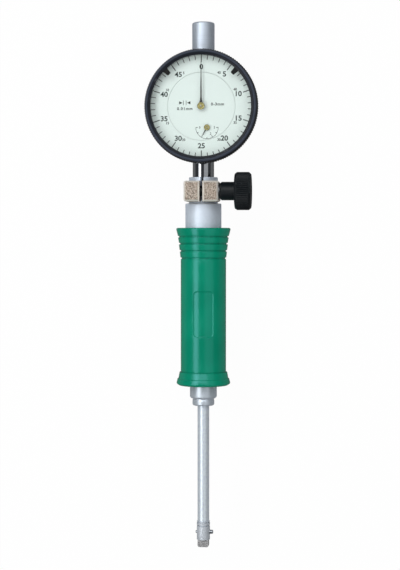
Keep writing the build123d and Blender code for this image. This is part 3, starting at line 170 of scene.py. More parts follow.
def collar_profile(inner, outer, bottom, top, lower_round=0.0, upper_round=0.0, steps=5):
    """The closed profile of a plain disc or tube, with its two outer corners rounded."""
    return rounded([(inner, bottom), (outer, bottom, lower_round), (outer, top, upper_round), (inner, top)], steps)


def divided(profile, step):
    """Adds points along each straight run of a closed profile, no further apart than step."""
    runs = []
    for point, following in zip(profile, np.roll(profile, -1, axis=0)):
        count = max(1, math.ceil(np.linalg.norm(following - point) / step))
        shares = np.arange(count)[:, None] / count
        runs.append(point + (following - point) * shares)
    return np.concatenate(runs)


def refined(values, middles, reach, count):
    """The values in order, with a closer run of count values round each middle."""
    runs = [np.linspace(middle - reach, middle + reach, count) for middle in middles]
    return np.unique(np.concatenate([values, *runs]))


def lathe(spindle, profile, segments=128, cut=None, closed=True):
    """Spins a closed (radius, height) profile about an axis: quad (i, j) of the grid of points joins (i, j),
    (i+1, j), (i+1, j+1) and (i, j+1). cut(angles, radii, heights) gives new radii. Where the turn isn't closed,
    a flat cap ends it at the first and the last angle."""
    angles = np.arange(segments) * FULL_TURN / segments if np.isscalar(segments) else segments
    radii, turn = np.meshgrid(profile[:, 0], angles)
    heights = np.broadcast_to(profile[:, 1], radii.shape)
    if cut:
        radii = cut(turn, radii, heights)
    index = np.arange(radii.size).reshape(radii.shape)
    ends = index[[0, -1]]
    if closed:
        index = np.vstack([index, index[:1]])
    index = np.hstack([index, index[:, :1]])
    quads = np.stack([index[:-1, :-1], index[1:, :-1], index[1:, 1:], index[:-1, 1:]], axis=-1)
    faces = quads.reshape(-1, 4).tolist()
    if not closed:
        faces += [ends[0].tolist(), ends[1, ::-1].tolist()]
    return spindle.place(radii, heights, turn).reshape(-1, 3), faces


def plate(outline, bottom, top, upper_outline=None):
    """A plate between two heights, over a closed outline of (x, y) in millimetres; its top may differ."""
    outline = np.array(outline, float)
    upper_outline = outline if upper_outline is None else upper_outline
    count = len(outline)
    lower = np.column_stack([outline, np.full(count, bottom)])
    upper = np.column_stack([upper_outline, np.full(count, top)])
    index = np.arange(count)
    following = np.roll(index, -1)
    walls = np.stack([index, following, following + count, index + count], axis=1).tolist()
    caps = [index[::-1].tolist(), (index + count).tolist()]
    return np.concatenate([lower, upper]) * MM, walls + caps


def rays(angles):
    """The directions (cos(angle), sin(angle))."""
    return np.stack([np.cos(angles), np.sin(angles)], axis=-1)


def polar(reach, degrees, centre=(0, 0)):
    """The point at a distance from the centre, in a direction counted from x towards y."""
    return centre + reach * rays(math.radians(degrees))


def turned_outline(outline, degrees, shift=(0, 0)):
    """An outline turned about its origin and then moved."""
    c, s = math.cos(math.radians(degrees)), math.sin(math.radians(degrees))
    return np.array(outline, float) @ np.array([[c, s], [-s, c]]) + np.array(shift, float)


def bar(inner, outer, width, degrees, centre=(0, 0)):
    """The outline of a bar that runs outwards from a centre along a direction."""
    half = width / 2
    return turned_outline([(inner, -half), (outer, -half), (outer, half), (inner, half)], degrees, centre)


def arc_band(centre, mean, width, first, last, steps):
    """The outline of a curved band between two angles, out along its outer edge and back along the inner."""
    ray = rays(np.radians(np.linspace(first, last, steps + 1)))
    return np.concatenate([ray * (mean + width / 2), ray[::-1] * (mean - width / 2)]) + np.array(centre)


def lettering(text, size, centre, width_share=1.0, spacing=1.0, weight=0.01):
    """Letters as one flat shape of print: their middle at centre, their capitals size high.
    The weight widens every stroke, as a share of the letters' own unit."""
    curve = bpy.data.curves.new("letters", "FONT")
    curve.body = text
    curve.resolution_u = 4
    curve.space_character = spacing
    curve.extrude = 0.5
    curve.offset = weight
    holder = bpy.data.objects.new("letters", curve)
    bpy.context.scene.collection.objects.link(holder)
    bpy.context.view_layer.update()
    mesh = bpy.data.meshes.new_from_object(holder.evaluated_get(bpy.context.evaluated_depsgraph_get()))
    vertices = np.empty(len(mesh.vertices) * 3)
    mesh.vertices.foreach_get("co", vertices)
    vertices = vertices.reshape(-1, 3)
    faces = [list(polygon.vertices) for polygon in mesh.polygons]
    bpy.data.objects.remove(holder)
    bpy.data.curves.remove(curve)
    bpy.data.meshes.remove(mesh)
    lowest, highest = vertices.min(axis=0), vertices.max(axis=0)
    scale = size / (highest[1] - lowest[1])
    flat = (vertices[:, :2] - (lowest[:2] + highest[:2]) / 2) * [scale * width_share, scale]
    bottom, top = PRINT
    heights = np.where(vertices[:, 2] > 0, top, bottom)
    return np.column_stack([flat + np.array(centre), heights]) * MM, faces


# Pieces: a named object made of shapes, or of a copy of a CAD node

def finish_mesh(mesh, sharp, copied=False):
    """Welds doubles, shades smooth and keeps edges sharp past an angle in degrees. A copied mesh has its flat
    triangles joined, and the faces of a new one are turned outwards."""
    work = bmesh.new()
    work.from_mesh(mesh)
    if copied:
        bmesh.ops.remove_doubles(work, verts=work.verts, dist=10 * WELD)
        bmesh.ops.dissolve_limit(work, angle_limit=math.radians(0.5), verts=work.verts, edges=work.edges)
    else:
        bmesh.ops.remove_doubles(work, verts=work.verts, dist=WELD)
        bmesh.ops.recalc_face_normals(work, faces=work.faces)
    work.to_mesh(mesh)
    work.free()
    mesh.polygons.foreach_set("use_smooth", np.ones(len(mesh.polygons), bool))
    mesh.set_sharp_from_angle(angle=math.radians(sharp))
    mesh.update()


def settle(piece, body, finish, replaces=()):
    """Links a finished piece, gives it its material and slot, and lets it ride on its body."""
    bpy.context.scene.collection.objects.link(piece)
    piece.data.materials.clear()
    piece.data.materials.append(surface_for(finish))
    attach(piece, body)
    if replaces:
        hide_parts(*replaces)


def make(name, shapes, body, finish, replaces=(), sharp=32):
    """A new piece from a list of shapes."""
    start, vertices, faces = 0, [], []
    for points, polygons in shapes:
        vertices.append(points)
        faces += [[corner + start for corner in polygon] for polygon in polygons]
        start += len(points)
    mesh = bpy.data.meshes.new(name)
    mesh.from_pydata(np.concatenate(vertices).tolist(), [], faces)
    finish_mesh(mesh, sharp)
    settle(bpy.data.objects.new(name, mesh), body, finish, replaces)


def skin(node, shapes, finish, sharp=32):
    """A new piece that stands for a CAD node, on the node's body."""
    make(node + "_skin", shapes, NODES[node]["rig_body"], finish, (node,), sharp)


def skin_from_node(node, finish, edge, sharp=28):
    """A welded copy of a CAD node with its edges rounded by a bevel, which stands for that node."""
    mesh = NODES[node].data.copy()
    mesh.name = node + "_skin"
    finish_mesh(mesh, sharp, copied=True)
    piece = bpy.data.objects.new(mesh.name, mesh)
    bevel = piece.modifiers.new("edges", "BEVEL")
    bevel.width = edge * MM
    bevel.segments = 3
    bevel.limit_method = "ANGLE"
    bevel.angle_limit = math.radians(sharp)
    settle(piece, NODES[node]["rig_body"], finish, (node,))


# Shader nodes

def feed(tree, made, inputs):
    """Links or sets inputs, each found by its name, or by its place where a node's inputs share a name."""
    for key, value in dict(inputs).items():
        socket = made.inputs[key]
        if isinstance(value, bpy.types.NodeSocket):
            tree.links.new(value, socket)
        else:
            socket.default_value = (*value, 1.0) if socket.type == "RGBA" else value


def add(tree, kind, inputs=(), **settings):
    """A new shader node with its settings and inputs; the result is its outputs."""
    made = tree.nodes.new("ShaderNode" + kind)
    for key, value in settings.items():
        setattr(made, key, value)
    feed(tree, made, inputs)
    return made.outputs


def maths(tree, operation, first, second=0.0):
    return add(tree, "Math", {0: first, 1: second}, operation=operation)[0]


def total(tree, start, *terms):
    """The start plus value * weight of each term."""
    for value, weight in terms:
        start = maths(tree, "ADD", maths(tree, "MULTIPLY", value, weight), start)
    return start


def ramp(tree, factor, low_value, high_value, low_result=0.0, high_result=1.0):
    """A smooth step of factor between two values."""
    values = (factor, low_value, high_value, low_result, high_result)
    return add(tree, "MapRange", enumerate(values), interpolation_type="SMOOTHSTEP")[0]


def blend_colour(tree, factor, first, second):
    return add(tree, "Mix", {0: factor, 6: first, 7: second}, data_type="RGBA")[2]


def mix_shaders(tree, share, first, second):
    return add(tree, "MixShader", {0: share, 1: first, 2: second})[0]


def seen_by(tree, *kinds):
    """1 for rays of any of these kinds, otherwise 0."""
    paths = add(tree, "LightPath")
    seen = paths["Is " + kinds[0] + " Ray"]
    for kind in kinds[1:]:
        seen = maths(tree, "MAXIMUM", seen, paths["Is " + kind + " Ray"])
    return seen


def noise(tree, vector, scale, detail=2.0, roughness=0.5):
    inputs = {"Vector": vector, "Scale": scale, "Detail": detail, "Roughness": roughness}
    return add(tree, "TexNoise", inputs)[0]


def bump(tree, height, depth):
    """A bump of real depth, in millimetres, from a height of 0 to 1."""
    return add(tree, "Bump", {"Strength": 1.0, "Distance": depth * MM, "Height": height})[0]


def station_of(tree, place, axis):
    """The coordinate along x, y or z, or the distance from the dial's centre for a face turned about z."""
    parts = add(tree, "SeparateXYZ", {0: place})
    if axis in "xyz":
        return parts["xyz".index(axis)]
    squares = [maths(tree, "MULTIPLY", parts[k], parts[k]) for k in (0, 1)]
    return maths(tree, "SQRT", maths(tree, "ADD", *squares))


# Shared groups of effects

def new_group(name, inputs, outputs):
    """An empty node group. Inputs are (name, default), where None makes a vector; outputs are named numbers."""
    tree = bpy.data.node_groups.new(name, "ShaderNodeTree")
    for socket_name, default in inputs:
        kind = "NodeSocketVector" if default is None else "NodeSocketFloat"
        socket = tree.interface.new_socket(socket_name, in_out="INPUT", socket_type=kind)
        if default is not None:
            socket.default_value = default
    for socket_name in outputs:
        tree.interface.new_socket(socket_name, in_out="OUTPUT", socket_type="NodeSocketFloat")
    return tree, tree.nodes.new("NodeGroupInput").outputs, tree.nodes.new("NodeGroupOutput")


def turning_group():
    """Fine lathe marks: noise read along one coordinate only, so that it is the same all the way round."""
    tree, given, out = new_group(
        "Turning marks", [("Station", 0.0), ("Marks per metre", 6000.0)], ["Marks", "Bands"])
    for index, (rate, detail) in enumerate(((given[1], 4.0), (maths(tree, "MULTIPLY", given[1], 0.06), 1.0))):
        along = maths(tree, "MULTIPLY", given[0], rate)
        feed(tree, out, {index: add(tree, "TexNoise", {"W": along, "Detail": detail}, noise_dimensions="1D")[0]})
    return tree


def handling_group():
    """Handling marks: soft cloudy smudges, and short thin scratches where a stretched noise peaks."""
    tree, given, out = new_group("Handling marks", [("Vector", None), ("Size", 200.0)], ["Smudge", "Scratch"])
    cloud = noise(tree, given[0], given[1], 3.0)
    stretch = {"Vector": given[0], "Rotation": (0.5, 0.3, 0.9), "Scale": (1.0, 14.0, 9.0)}
    streak = noise(tree, add(tree, "Mapping", stretch)[0], maths(tree, "MULTIPLY", given[1], 1.7))
    feed(tree, out, {0: ramp(tree, cloud, 0.4, 0.68), 1: ramp(tree, streak, 0.68, 0.76)})
    return tree


def wear_group():
    """Edge wear: where the surface is sharply convex, broken up by noise."""
    tree, given, out = new_group("Edge wear", [("Vector", None), ("Size", 900.0)], ["Wear"])
    edge = ramp(tree, add(tree, "NewGeometry")["Pointiness"], 0.53, 0.62)
    grain = ramp(tree, noise(tree, given[0], given[1], 3.0), 0.35, 0.6)
    feed(tree, out, {0: maths(tree, "MULTIPLY", edge, grain)})
    return tree


GROUPS = {}


def group(tree, make_group, *values):
    """Places a shared group in a material and feeds its inputs in order."""
    if make_group not in GROUPS:
        GROUPS[make_group] = make_group()
    return add(tree, "Group", enumerate(values), node_tree=GROUPS[make_group])


# Materials

def start_material(name):
    """A new material: its tree, its Principled shader and the object's coordinates."""
    surface = bpy.data.materials.new(name)
    surface.use_nodes = True
    tree = surface.node_tree
    return surface, tree, tree.nodes["Principled BSDF"], add(tree, "TexCoord")["Object"]


def scaled(colour, share):
    return tuple(min(1.0, share * channel) for channel in colour)


def metal(name, colour, roughness, axis, marks, depth, tint=0.9, smudge=0.08, scratch=0.03, metallic=1.0):
    """Turned metal: lathe marks in the bump and the roughness, with faint smudges and scratches. Matt plating
    has a metallic share below 1, because its milky skin scatters light."""
    surface, tree, shader, place = start_material(name)
    turning = group(tree, turning_group, station_of(tree, place, axis), marks)
    handling = group(tree, handling_group, place, 180.0)
    wear = group(tree, wear_group, place, 900.0)
    shade = blend_colour(tree, turning["Bands"], scaled(colour, tint), colour)
    feed(tree, shader, {
        "Base Color": blend_colour(tree, wear["Wear"], shade, scaled(colour, 1.08)),
        "Roughness": total(tree, roughness - smudge / 3, (handling["Smudge"], smudge),
                           (turning["Marks"], roughness * 0.35), (handling["Scratch"], scratch)),
        "Metallic": metallic,
        "Normal": bump(tree, turning["Marks"], depth),
    })
    return surface


def blasted_metal(name, dark, light, stain, edge_colour):
    """Bead-blasted metal: a coarse bright and dark grain on the flat faces, stains, and polished bevels."""
    surface, tree, shader, place = start_material(name)
    grain = noise(tree, place, 3300.0, 3.0, 0.65)
    pits = noise(tree, place, 8500.0, 2.0, 0.7)
    cloud = noise(tree, place, 420.0)
    normal = add(tree, "NewGeometry")["True Normal"]
    facing = add(tree, "SeparateXYZ", {0: add(tree, "VectorMath", {0: normal}, operation="ABSOLUTE")[0]})
    flattest = maths(tree, "MAXIMUM", maths(tree, "MAXIMUM", facing[0], facing[1]), facing[2])
    flat = ramp(tree, flattest, 0.86, 0.97)
    mottled = blend_colour(tree, ramp(tree, grain, 0.43, 0.54), dark, light)
    stained = blend_colour(tree, ramp(tree, cloud, 0.42, 0.66, 0.0, 0.35), mottled, stain)
    height = maths(tree, "MULTIPLY", total(tree, grain, (pits, 0.4)), flat)
    feed(tree, shader, {
        "Base Color": blend_colour(tree, flat, edge_colour, stained),
        "Roughness": ramp(tree, flat, 0.0, 1.0, 0.5, 0.55),
        "Metallic": 0.5,
        "Normal": bump(tree, height, 0.06),
    })
    return surface


def moulded_plastic(name, colour, roughness, grain_depth, wear_colour, specular, gloss=(1.0, 1.0, 1.0)):
    """Moulded plastic: a fine spark-eroded grain, slow colour drift and paler worn edges; gloss tints the shine."""
    surface, tree, shader, place = start_material(name)
    grain = noise(tree, place, 2600.0, 2.0, 0.6)
    coarse = noise(tree, place, 900.0, 1.0)
    drift = noise(tree, place, 60.0, 1.0)
    handling = group(tree, handling_group, place, 120.0)
    wear = group(tree, wear_group, place, 1200.0)
    shade = blend_colour(tree, ramp(tree, drift, 0.35, 0.65), scaled(colour, 0.88), colour)
    feed(tree, shader, {
        "Base Color": blend_colour(tree, maths(tree, "MULTIPLY", wear["Wear"], 0.5), shade, wear_colour),
        "Roughness": total(tree, roughness - 0.03, (handling["Smudge"], 0.06), (grain, 0.08)),
        "Specular IOR Level": specular,
        "Specular Tint": gloss,
        "Normal": bump(tree, total(tree, grain, (coarse, 0.5)), grain_depth),
    })
    return surface


def paint(name, colour, roughness, speck):
    """Printed or sprayed paint: a faint speckle in the colour and an orange-peel bump."""
    surface, tree, shader, place = start_material(name)
    fleck = noise(tree, place, 5200.0)
    peel = noise(tree, place, 1500.0, 1.0)
    feed(tree, shader, {
        "Base Color": blend_colour(tree, fleck, scaled(colour, 1 - speck), colour),
        "Roughness": total(tree, roughness - 0.05, (peel, 0.1)),
        "Specular IOR Level": 0.2,
        "Normal": bump(tree, peel, 0.002),
    })
    return surface


def anodised(name, colour):
    """Black anodised aluminium: a dark blue skin over turned metal, with painted shade on the knurl and towards the
    inner edge of the front that leaves a painted highlight band on the front's ridge, worn pale at edges."""
    surface, tree, shader, place = start_material(name)
    reach = station_of(tree, place, "radius")
    turning = group(tree, turning_group, reach, 5000.0)
    handling = group(tree, handling_group, place, 140.0)
    wear = group(tree, wear_group, place, 1600.0)
    shade = blend_colour(tree, turning["Bands"], scaled(colour, 0.8), colour)
    knurl_root = radius("bezel") - bpy.context.scene.gauge_bezel.knurl
    # Painted shade: the knurl and the inner slope of the front fall towards a tenth of the colour, and the ridge
    # between them keeps the full colour as a painted highlight band.
    shaded_below, lit_from = 19.4, 19.65
    front = maths(tree, "MULTIPLY", ramp(tree, reach, (knurl_root - 0.1) * MM, (knurl_root - 0.4) * MM),
                  ramp(tree, reach, shaded_below * MM, lit_from * MM, 0.2, 1.0))
    shade = blend_colour(tree, front, scaled(colour, 0.1), shade)
    feed(tree, shader, {
        "Base Color": blend_colour(tree, maths(tree, "MULTIPLY", wear["Wear"], 0.3), shade, (0.12, 0.125, 0.14)),
        "Roughness": total(tree, 0.3, (handling["Smudge"], 0.07), (turning["Marks"], 0.1)),
        "Specular IOR Level": 0.2,
        "Normal": bump(tree, turning["Marks"], 0.0015),
    })
    return surface


def clear_glass(name, colour, ior):
    """The crystal: clear, with a trace of green, and it lets light through for shadows."""
    surface, tree, shader, place = start_material(name)
    handling = group(tree, handling_group, place, 90.0)
    feed(tree, shader, {
        "Base Color": colour,
        "Roughness": maths(tree, "MULTIPLY", handling["Smudge"], 0.02),
        "Transmission Weight": 1.0,
        "IOR": ior,
    })
    clear = add(tree, "BsdfTransparent", {"Color": colour})[0]
    both = mix_shaders(tree, seen_by(tree, "Shadow", "Diffuse"), shader.outputs[0], clear)
    feed(tree, tree.nodes["Material Output"], {"Surface": both})
    return surface


def recipes():
    """Each finish by name: what makes it, and the maker's values in their order. For a turned metal these are the
    colour, roughness, axis, marks per metre, their depth in mm, tint, smudge, scratch and metallic share."""
    scene = bpy.context.scene
    looks, print_looks, grip = scene.gauge_metal, scene.gauge_dial, scene.gauge_grip
    satin = looks.satin
    chrome, steel, brass = tuple(looks.chrome_colour), tuple(looks.steel_colour), tuple(looks.brass_colour)
    return {
        "polished_chrome": (metal, tuple(looks.bright_colour), 0.05, "y", 4000.0, 0.0002, 0.9, 0.03),
        "satin_chrome": (metal, chrome, satin, "y", 7000.0, 0.0012, 0.9, 0.08, 0.03, 0.8),
        # The ferrule's chrome is a copy of the satin chrome with its colour about a tenth paler as painted light,
        # which makes up for the weaker lamp light on the ferrule; its lower roughness and metallic share also shape
        # its highlight.
        "ferrule_chrome": (metal, (0.8, 0.88, 0.97), 0.36, "y", 7000.0, 0.0012, 0.9, 0.08, 0.03, 0.7),
        "drawn_tube": (metal, (0.79, 0.87, 0.97), 0.36, "y", 6500.0, 0.0003, 0.98, 0.02, 0.01, 0.6),
        "matt_chrome": (metal, chrome, satin, "y", 6500.0, 0.0008, 0.97, 0.02, 0.01, 0.5),
        "satin_steel": (metal, steel, satin, "y", 6000.0, 0.0015, 0.9, 0.08, 0.03, 0.55),
        "cross_steel": (metal, steel, 0.25, "x", 9000.0, 0.0012),
        "case_metal": (metal, (0.52, 0.53, 0.55), 0.34, "radius", 2500.0, 0.003),
        "case_side": (metal, (0.5, 0.51, 0.53), 0.3, "z", 5000.0, 0.002),
        "dark_steel": (metal, (0.22, 0.225, 0.24), 0.3, "z", 8000.0, 0.001),
        "spring_steel": (metal, (0.4, 0.41, 0.43), 0.25, "y", 9000.0, 0.0006),
        "brass": (metal, brass, 0.24, "radius", 9000.0, 0.0015, 0.75),
        "brass_plate": (metal, brass, 0.35, "x", 5000.0, 0.001, 0.85),
        "blasted_nickel": (
            blasted_metal, (0.14, 0.105, 0.08), (0.62, 0.54, 0.46), (0.32, 0.23, 0.17), (1.0, 0.96, 0.88)),
        "blasted_steel": (
            blasted_metal, (0.14, 0.14, 0.145), (0.6, 0.6, 0.61), (0.35, 0.35, 0.35), (0.62, 0.62, 0.63)),
        "black_anodised": (anodised, tuple(scene.gauge_bezel.colour)),
        "black_plastic": (
            moulded_plastic, tuple(scene.gauge_knob.colour), 0.4, 0.006, (0.035, 0.045, 0.05), 0.28),
        "green_plastic": (
            moulded_plastic, tuple(grip.colour), grip.roughness, 0.03, (0.02, 0.34, 0.24), 0.9, (0.35, 0.8, 1.0)),
        "dial_paint": (paint, tuple(print_looks.face_colour), 0.5, 0.03),
        "dial_print": (paint, tuple(print_looks.print_colour), 0.55, 0.2),
        "faint_print": (paint, tuple(print_looks.faint_colour), 0.55, 0.1),
        "black_paint": (paint, (0.008, 0.009, 0.009), 0.35, 0.3),
        "crystal": (clear_glass, (0.985, 0.997, 0.992), 1.45),
    }


SURFACES = {}


def surface_for(finish):
    """The material of that finish, made once."""
    if finish not in SURFACES:
        maker, *values = recipes()[finish]
        SURFACES[finish] = maker(finish, *values)
    return SURFACES[finish]


# Settings that a user would change

def colour_setting(name, description, default):
    return bpy.props.FloatVectorProperty(
        name=name, description=description, subtype="COLOR", size=3, min=0.0, max=1.0, default=default)


def length_setting(name, description, default):
    """A small size in millimetres."""
    return bpy.props.FloatProperty(name=name + " (mm)", description=description, default=default, min=0.0)


def share_setting(name, description, default):
    return bpy.props.FloatProperty(
        name=name, description=description, default=default, min=0.0, max=1.0, subtype="FACTOR")


def turn_setting(name, description, degrees):
    return bpy.props.FloatProperty(
        name=name, description=description, default=math.radians(degrees), subtype="ANGLE")


def teeth_setting(description, default):
    return bpy.props.IntProperty(name="Knurl teeth", description=description, default=default, min=12)


class MetalSettings(bpy.types.PropertyGroup):
    bright_colour: colour_setting("Bright chrome", "Colour of the polished stem", (0.58, 0.6, 0.63))
    chrome_colour: colour_setting("Matt chrome", "Colour of the matt-plated pieces", (0.72, 0.8, 0.9))
    steel_colour: colour_setting("Steel", "Colour of the bare steel pieces", (0.68, 0.73, 0.79))
    brass_colour: colour_setting("Brass", "Colour of the hubs and plates", (0.3, 0.265, 0.1))
    satin: share_setting("Satin", "Roughness of the satin pieces", 0.44)


class GripSettings(bpy.types.PropertyGroup):
    colour: colour_setting("Colour", "Colour of the moulded grip", (0.0, 0.25, 0.142))
    roughness: share_setting("Roughness", "Roughness of the moulded surface", 0.18)
    edge: length_setting("Edge round", "Rounding of the rings' edges", 0.22)
    panel_width: length_setting("Panel width", "Width of the shallow panel, round the grip", 7.6)
    panel_height: length_setting("Panel height", "Height of the shallow panel, along the grip", 16.8)
    panel_corner: length_setting("Panel corner", "Corner radius of the panel", 1.3)
    panel_depth: length_setting("Panel depth", "Depth of the panel", 0.32)
    panel_slope: length_setting("Panel edge", "Width of the panel's sloping edge", 0.35)
    turn: turn_setting("Turn", "How far the moulding is turned from the dial", 5.0)


class DialSettings(bpy.types.PropertyGroup):
    face_colour: colour_setting("Face", "Colour of the dial's paint", (0.77, 0.855, 0.83))
    print_colour: colour_setting("Print", "Colour of the graduations and numbers", (0.012, 0.026, 0.024))
    faint_colour: colour_setting("Fine print", "Colour of the small lettering", (0.012, 0.02, 0.018))
    line: length_setting("Line", "Width of a graduation line", 0.28)
    number_height: length_setting("Numbers", "Height of the large numbers", 1.95)
    small_height: length_setting("Small numbers", "Height of the reverse numbers", 0.95)


class BezelSettings(bpy.types.PropertyGroup):
    colour: colour_setting("Colour", "Colour of the anodised bezel", (0.042, 0.051, 0.074))
    teeth: teeth_setting("Teeth round the bezel", 144)
    knurl: length_setting("Knurl depth", "Depth of the bezel's knurl", 0.25)


class KnobSettings(bpy.types.PropertyGroup):
    colour: colour_setting("Colour", "Colour of the clamp knob", (0.0055, 0.0085, 0.011))
    teeth: teeth_setting("Teeth round the knob", 56)
    knurl: length_setting("Knurl depth", "Depth of the knob's knurl", 0.26)


class StageSettings(bpy.types.PropertyGroup):
    distance: bpy.props.FloatProperty(
        name="Distance", description="Distance from the camera to the gauge", default=0.52, unit="LENGTH")
    swing: turn_setting("Swing", "How far the camera stands to the knob's side", 5.4)
    lens: bpy.props.FloatProperty(name="Lens", description="Focal length on a 36 mm frame", default=87.5, min=1.0)


SETTINGS = {
    "gauge_metal": MetalSettings,
    "gauge_grip": GripSettings,
    "gauge_dial": DialSettings,
    "gauge_bezel": BezelSettings,
    "gauge_knob": KnobSettings,
    "gauge_stage": StageSettings,
}


# Operators

NODE_FINISHES = {
    "dial_paint": ("dial_ring", "centre_dial"),
    "crystal": ("crystal",),
    "polished_chrome": ("upper_bush",),
    "dark_steel": ("retaining_ring", "centre_pinion", "takeup_arbor", "rack_pinion", "plate_screws", "guide_pin",
                   "spring_pin", "spring_post"),
    "brass_plate": ("takeup_gear", "main_gear", "hairspring", "movement_plate", "rear_plate"),
    "brass": ("plate_pillars", "rod_guide", "spring_seat"),
    "satin_steel": ("spindle", "contact_tip", "grip_tube", "push_rod", "rod_head"),
    "spring_steel": ("spindle_spring", "return_spring"),
    "black_paint": ("clamp_screw",),
}


class GaugePiece:
    """What the operators share: each makes its pieces once and reports that it is done."""

    bl_options = {"REGISTER", "UNDO"}

    def execute(self, context):
        self.build(context.scene)
        return {"FINISHED"}


class GAUGE_OT_node_finishes(GaugePiece, bpy.types.Operator):
    """Gives every carried-over piece its finish"""

    bl_idname = "gauge.node_finishes"
    bl_label = "Inner pieces"

    def build(self, scene):
        for finish, nodes in NODE_FINISHES.items():
            for node in nodes:
                materials = NODES[node].data.materials
                materials.clear()
                materials.append(surface_for(finish))


class GAUGE_OT_cap_and_stem(GaugePiece, bpy.types.Operator):
    """Makes the spindle cap and the stem"""

    bl_idname = "gauge.cap_and_stem"
    bl_label = "Cap and stem"

    stem_shoulder = 1.0

    def build(self, scene):
        cap = collar_profile(0, radius("spindle_cap"), *span("spindle_cap", "y"), 0.15, 0.7, steps=8)
        skin("spindle_cap", [lathe(GAUGE, cap, 160)], "satin_chrome")
        bottom, top = span("stem", "y")
        boss, size = low("dial_case", "y"), radius("stem")
        spigot = size - self.stem_shoulder
        rod = rounded([(0, bottom), (size, bottom, 0.4), (size, boss), (spigot, boss), (spigot, top), (0, top)])
        skin("stem", [lathe(GAUGE, rod, 160)], "polished_chrome")


class GAUGE_OT_case(GaugePiece, bpy.types.Operator):
    """Makes the dial case, its back cover and the cover's screws"""

    bl_idname = "gauge.case"
    bl_label = "Case"

    screw_head = 1.25
    screw_shank = 0.7
    slot_width = 0.28
    slot_depth = 0.3
    slot_turn = 40

    def build(self, scene):
        skin_from_node("dial_case", "case_side", 0.12)
        skin_from_node("back_cover", "case_metal", 0.1)
        skin("cover_screws", self.screws(), "dark_steel")

    def screws(self):
        """Countersunk heads, each a cone with two half discs on it that leave the driver's slot between them."""
        face, end = span("cover_screws", "z")
        head, shank, seat = self.screw_head, self.screw_shank, face + self.slot_depth
        cone = rounded([
            (0, seat), (head - self.slot_depth, seat), (shank, face + head - shank), (shank, end), (0, end)])
        place = middle("cover_screws", "x") + radius("cover_screws") - head
        shapes = []
        for x, y in ((place, place), (-place, place), (-place, -place), (place, -place)):
            shapes.append(lathe(upright(x, y), cone, 32))
            for side in (0, 180):
                lower, upper = [self.half_circle(reach, side) + [x, y] for reach in (head, head - self.slot_depth)]
                shapes.append(plate(lower, face, seat, upper))
        return shapes

    def half_circle(self, reach, side):
        """The part of a circle that lies on one side of the slot."""
        start = math.degrees(math.asin(self.slot_width / 2 / reach))
        return rays(np.radians(np.linspace(start, 180 - start, 17) + self.slot_turn + side)) * reach


class GAUGE_OT_bezel(GaugePiece, bpy.types.Operator):
    """Makes the knurled bezel and the two limit markers"""

    bl_idname = "gauge.bezel"
    bl_label = "Bezel"

    bore = 17.65
    ledge = 14.5
    recess = 18.95
    lip = 18.5
    lip_under = 18.3
    lip_over = 18.42
    front_inner = 19.7
    front_outer = 20.25
    front_slope = 0.35
    slope_start = 17.6
    knurl_ends = (13.1, 17.3)
    knurl_slope = 0.25

    def build(self, scene):
        look = scene.gauge_bezel
        outer = radius("bezel")
        shoulder = outer - look.knurl

        def knurl(angles, radii, heights):
            """Triangular teeth: the radius falls by up to the knurl's depth between the tips."""
            saw = np.abs(2 * np.mod(angles * look.teeth / FULL_TURN, 1.0) - 1)
            return radii - np.clip(radii - shoulder, 0, look.knurl) * (1 - saw)

        skin("bezel", [lathe(DIAL, self.profile(outer, shoulder), look.teeth * 6, knurl)], "black_anodised")
        for side, degrees in (("left", 135), ("right", 45)):
            node = "limit_marker_" + side
            skin(node, [plate(self.marker_outline(degrees), *span("limit_marker_left", "z"))], "black_paint")

    def profile(self, outer, shoulder):
        bottom, front = span("bezel", "z")
        start, end = self.knurl_ends
        slope = self.knurl_slope
        return rounded([
            (self.bore, bottom), (shoulder - 0.3, bottom, 0.1), (shoulder, bottom + 0.3, 0.1), (shoulder, start),
            (outer, start + slope, 0.08), (outer, end - slope, 0.08), (shoulder, end),
            (shoulder, self.slope_start, 0.25), (self.front_outer, front, 0.12), (self.front_inner, front, 0.12),
            (self.front_inner - self.front_slope, front - self.front_slope, 0.1),
            (self.lip + 0.05, self.lip_over, 0.06), (self.lip, self.lip_under), (self.recess, self.lip_under),
            (self.recess, self.ledge), (self.bore, self.ledge),
        ], steps=4)

    def marker_outline(self, degrees):
        """A blunt bar with rounded corners that widens into a curved foot under the bezel's lip."""
        tip, root, foot, edge = 16.25, 18.5, 18.9, 0.35
        half, root_half, foot_half = 0.75, 0.95, 1.8
        lead = math.sqrt(foot ** 2 - foot_half ** 2)
        corners = [(tip, -half, edge), (tip, half, edge), (root, root_half), (root, foot_half), (lead, foot_half)]
        corners += [(foot, 0.0), (lead, -foot_half), (root, -foot_half), (root, -root_half)]
        return turned_outline(rounded(corners, steps=4), degrees)


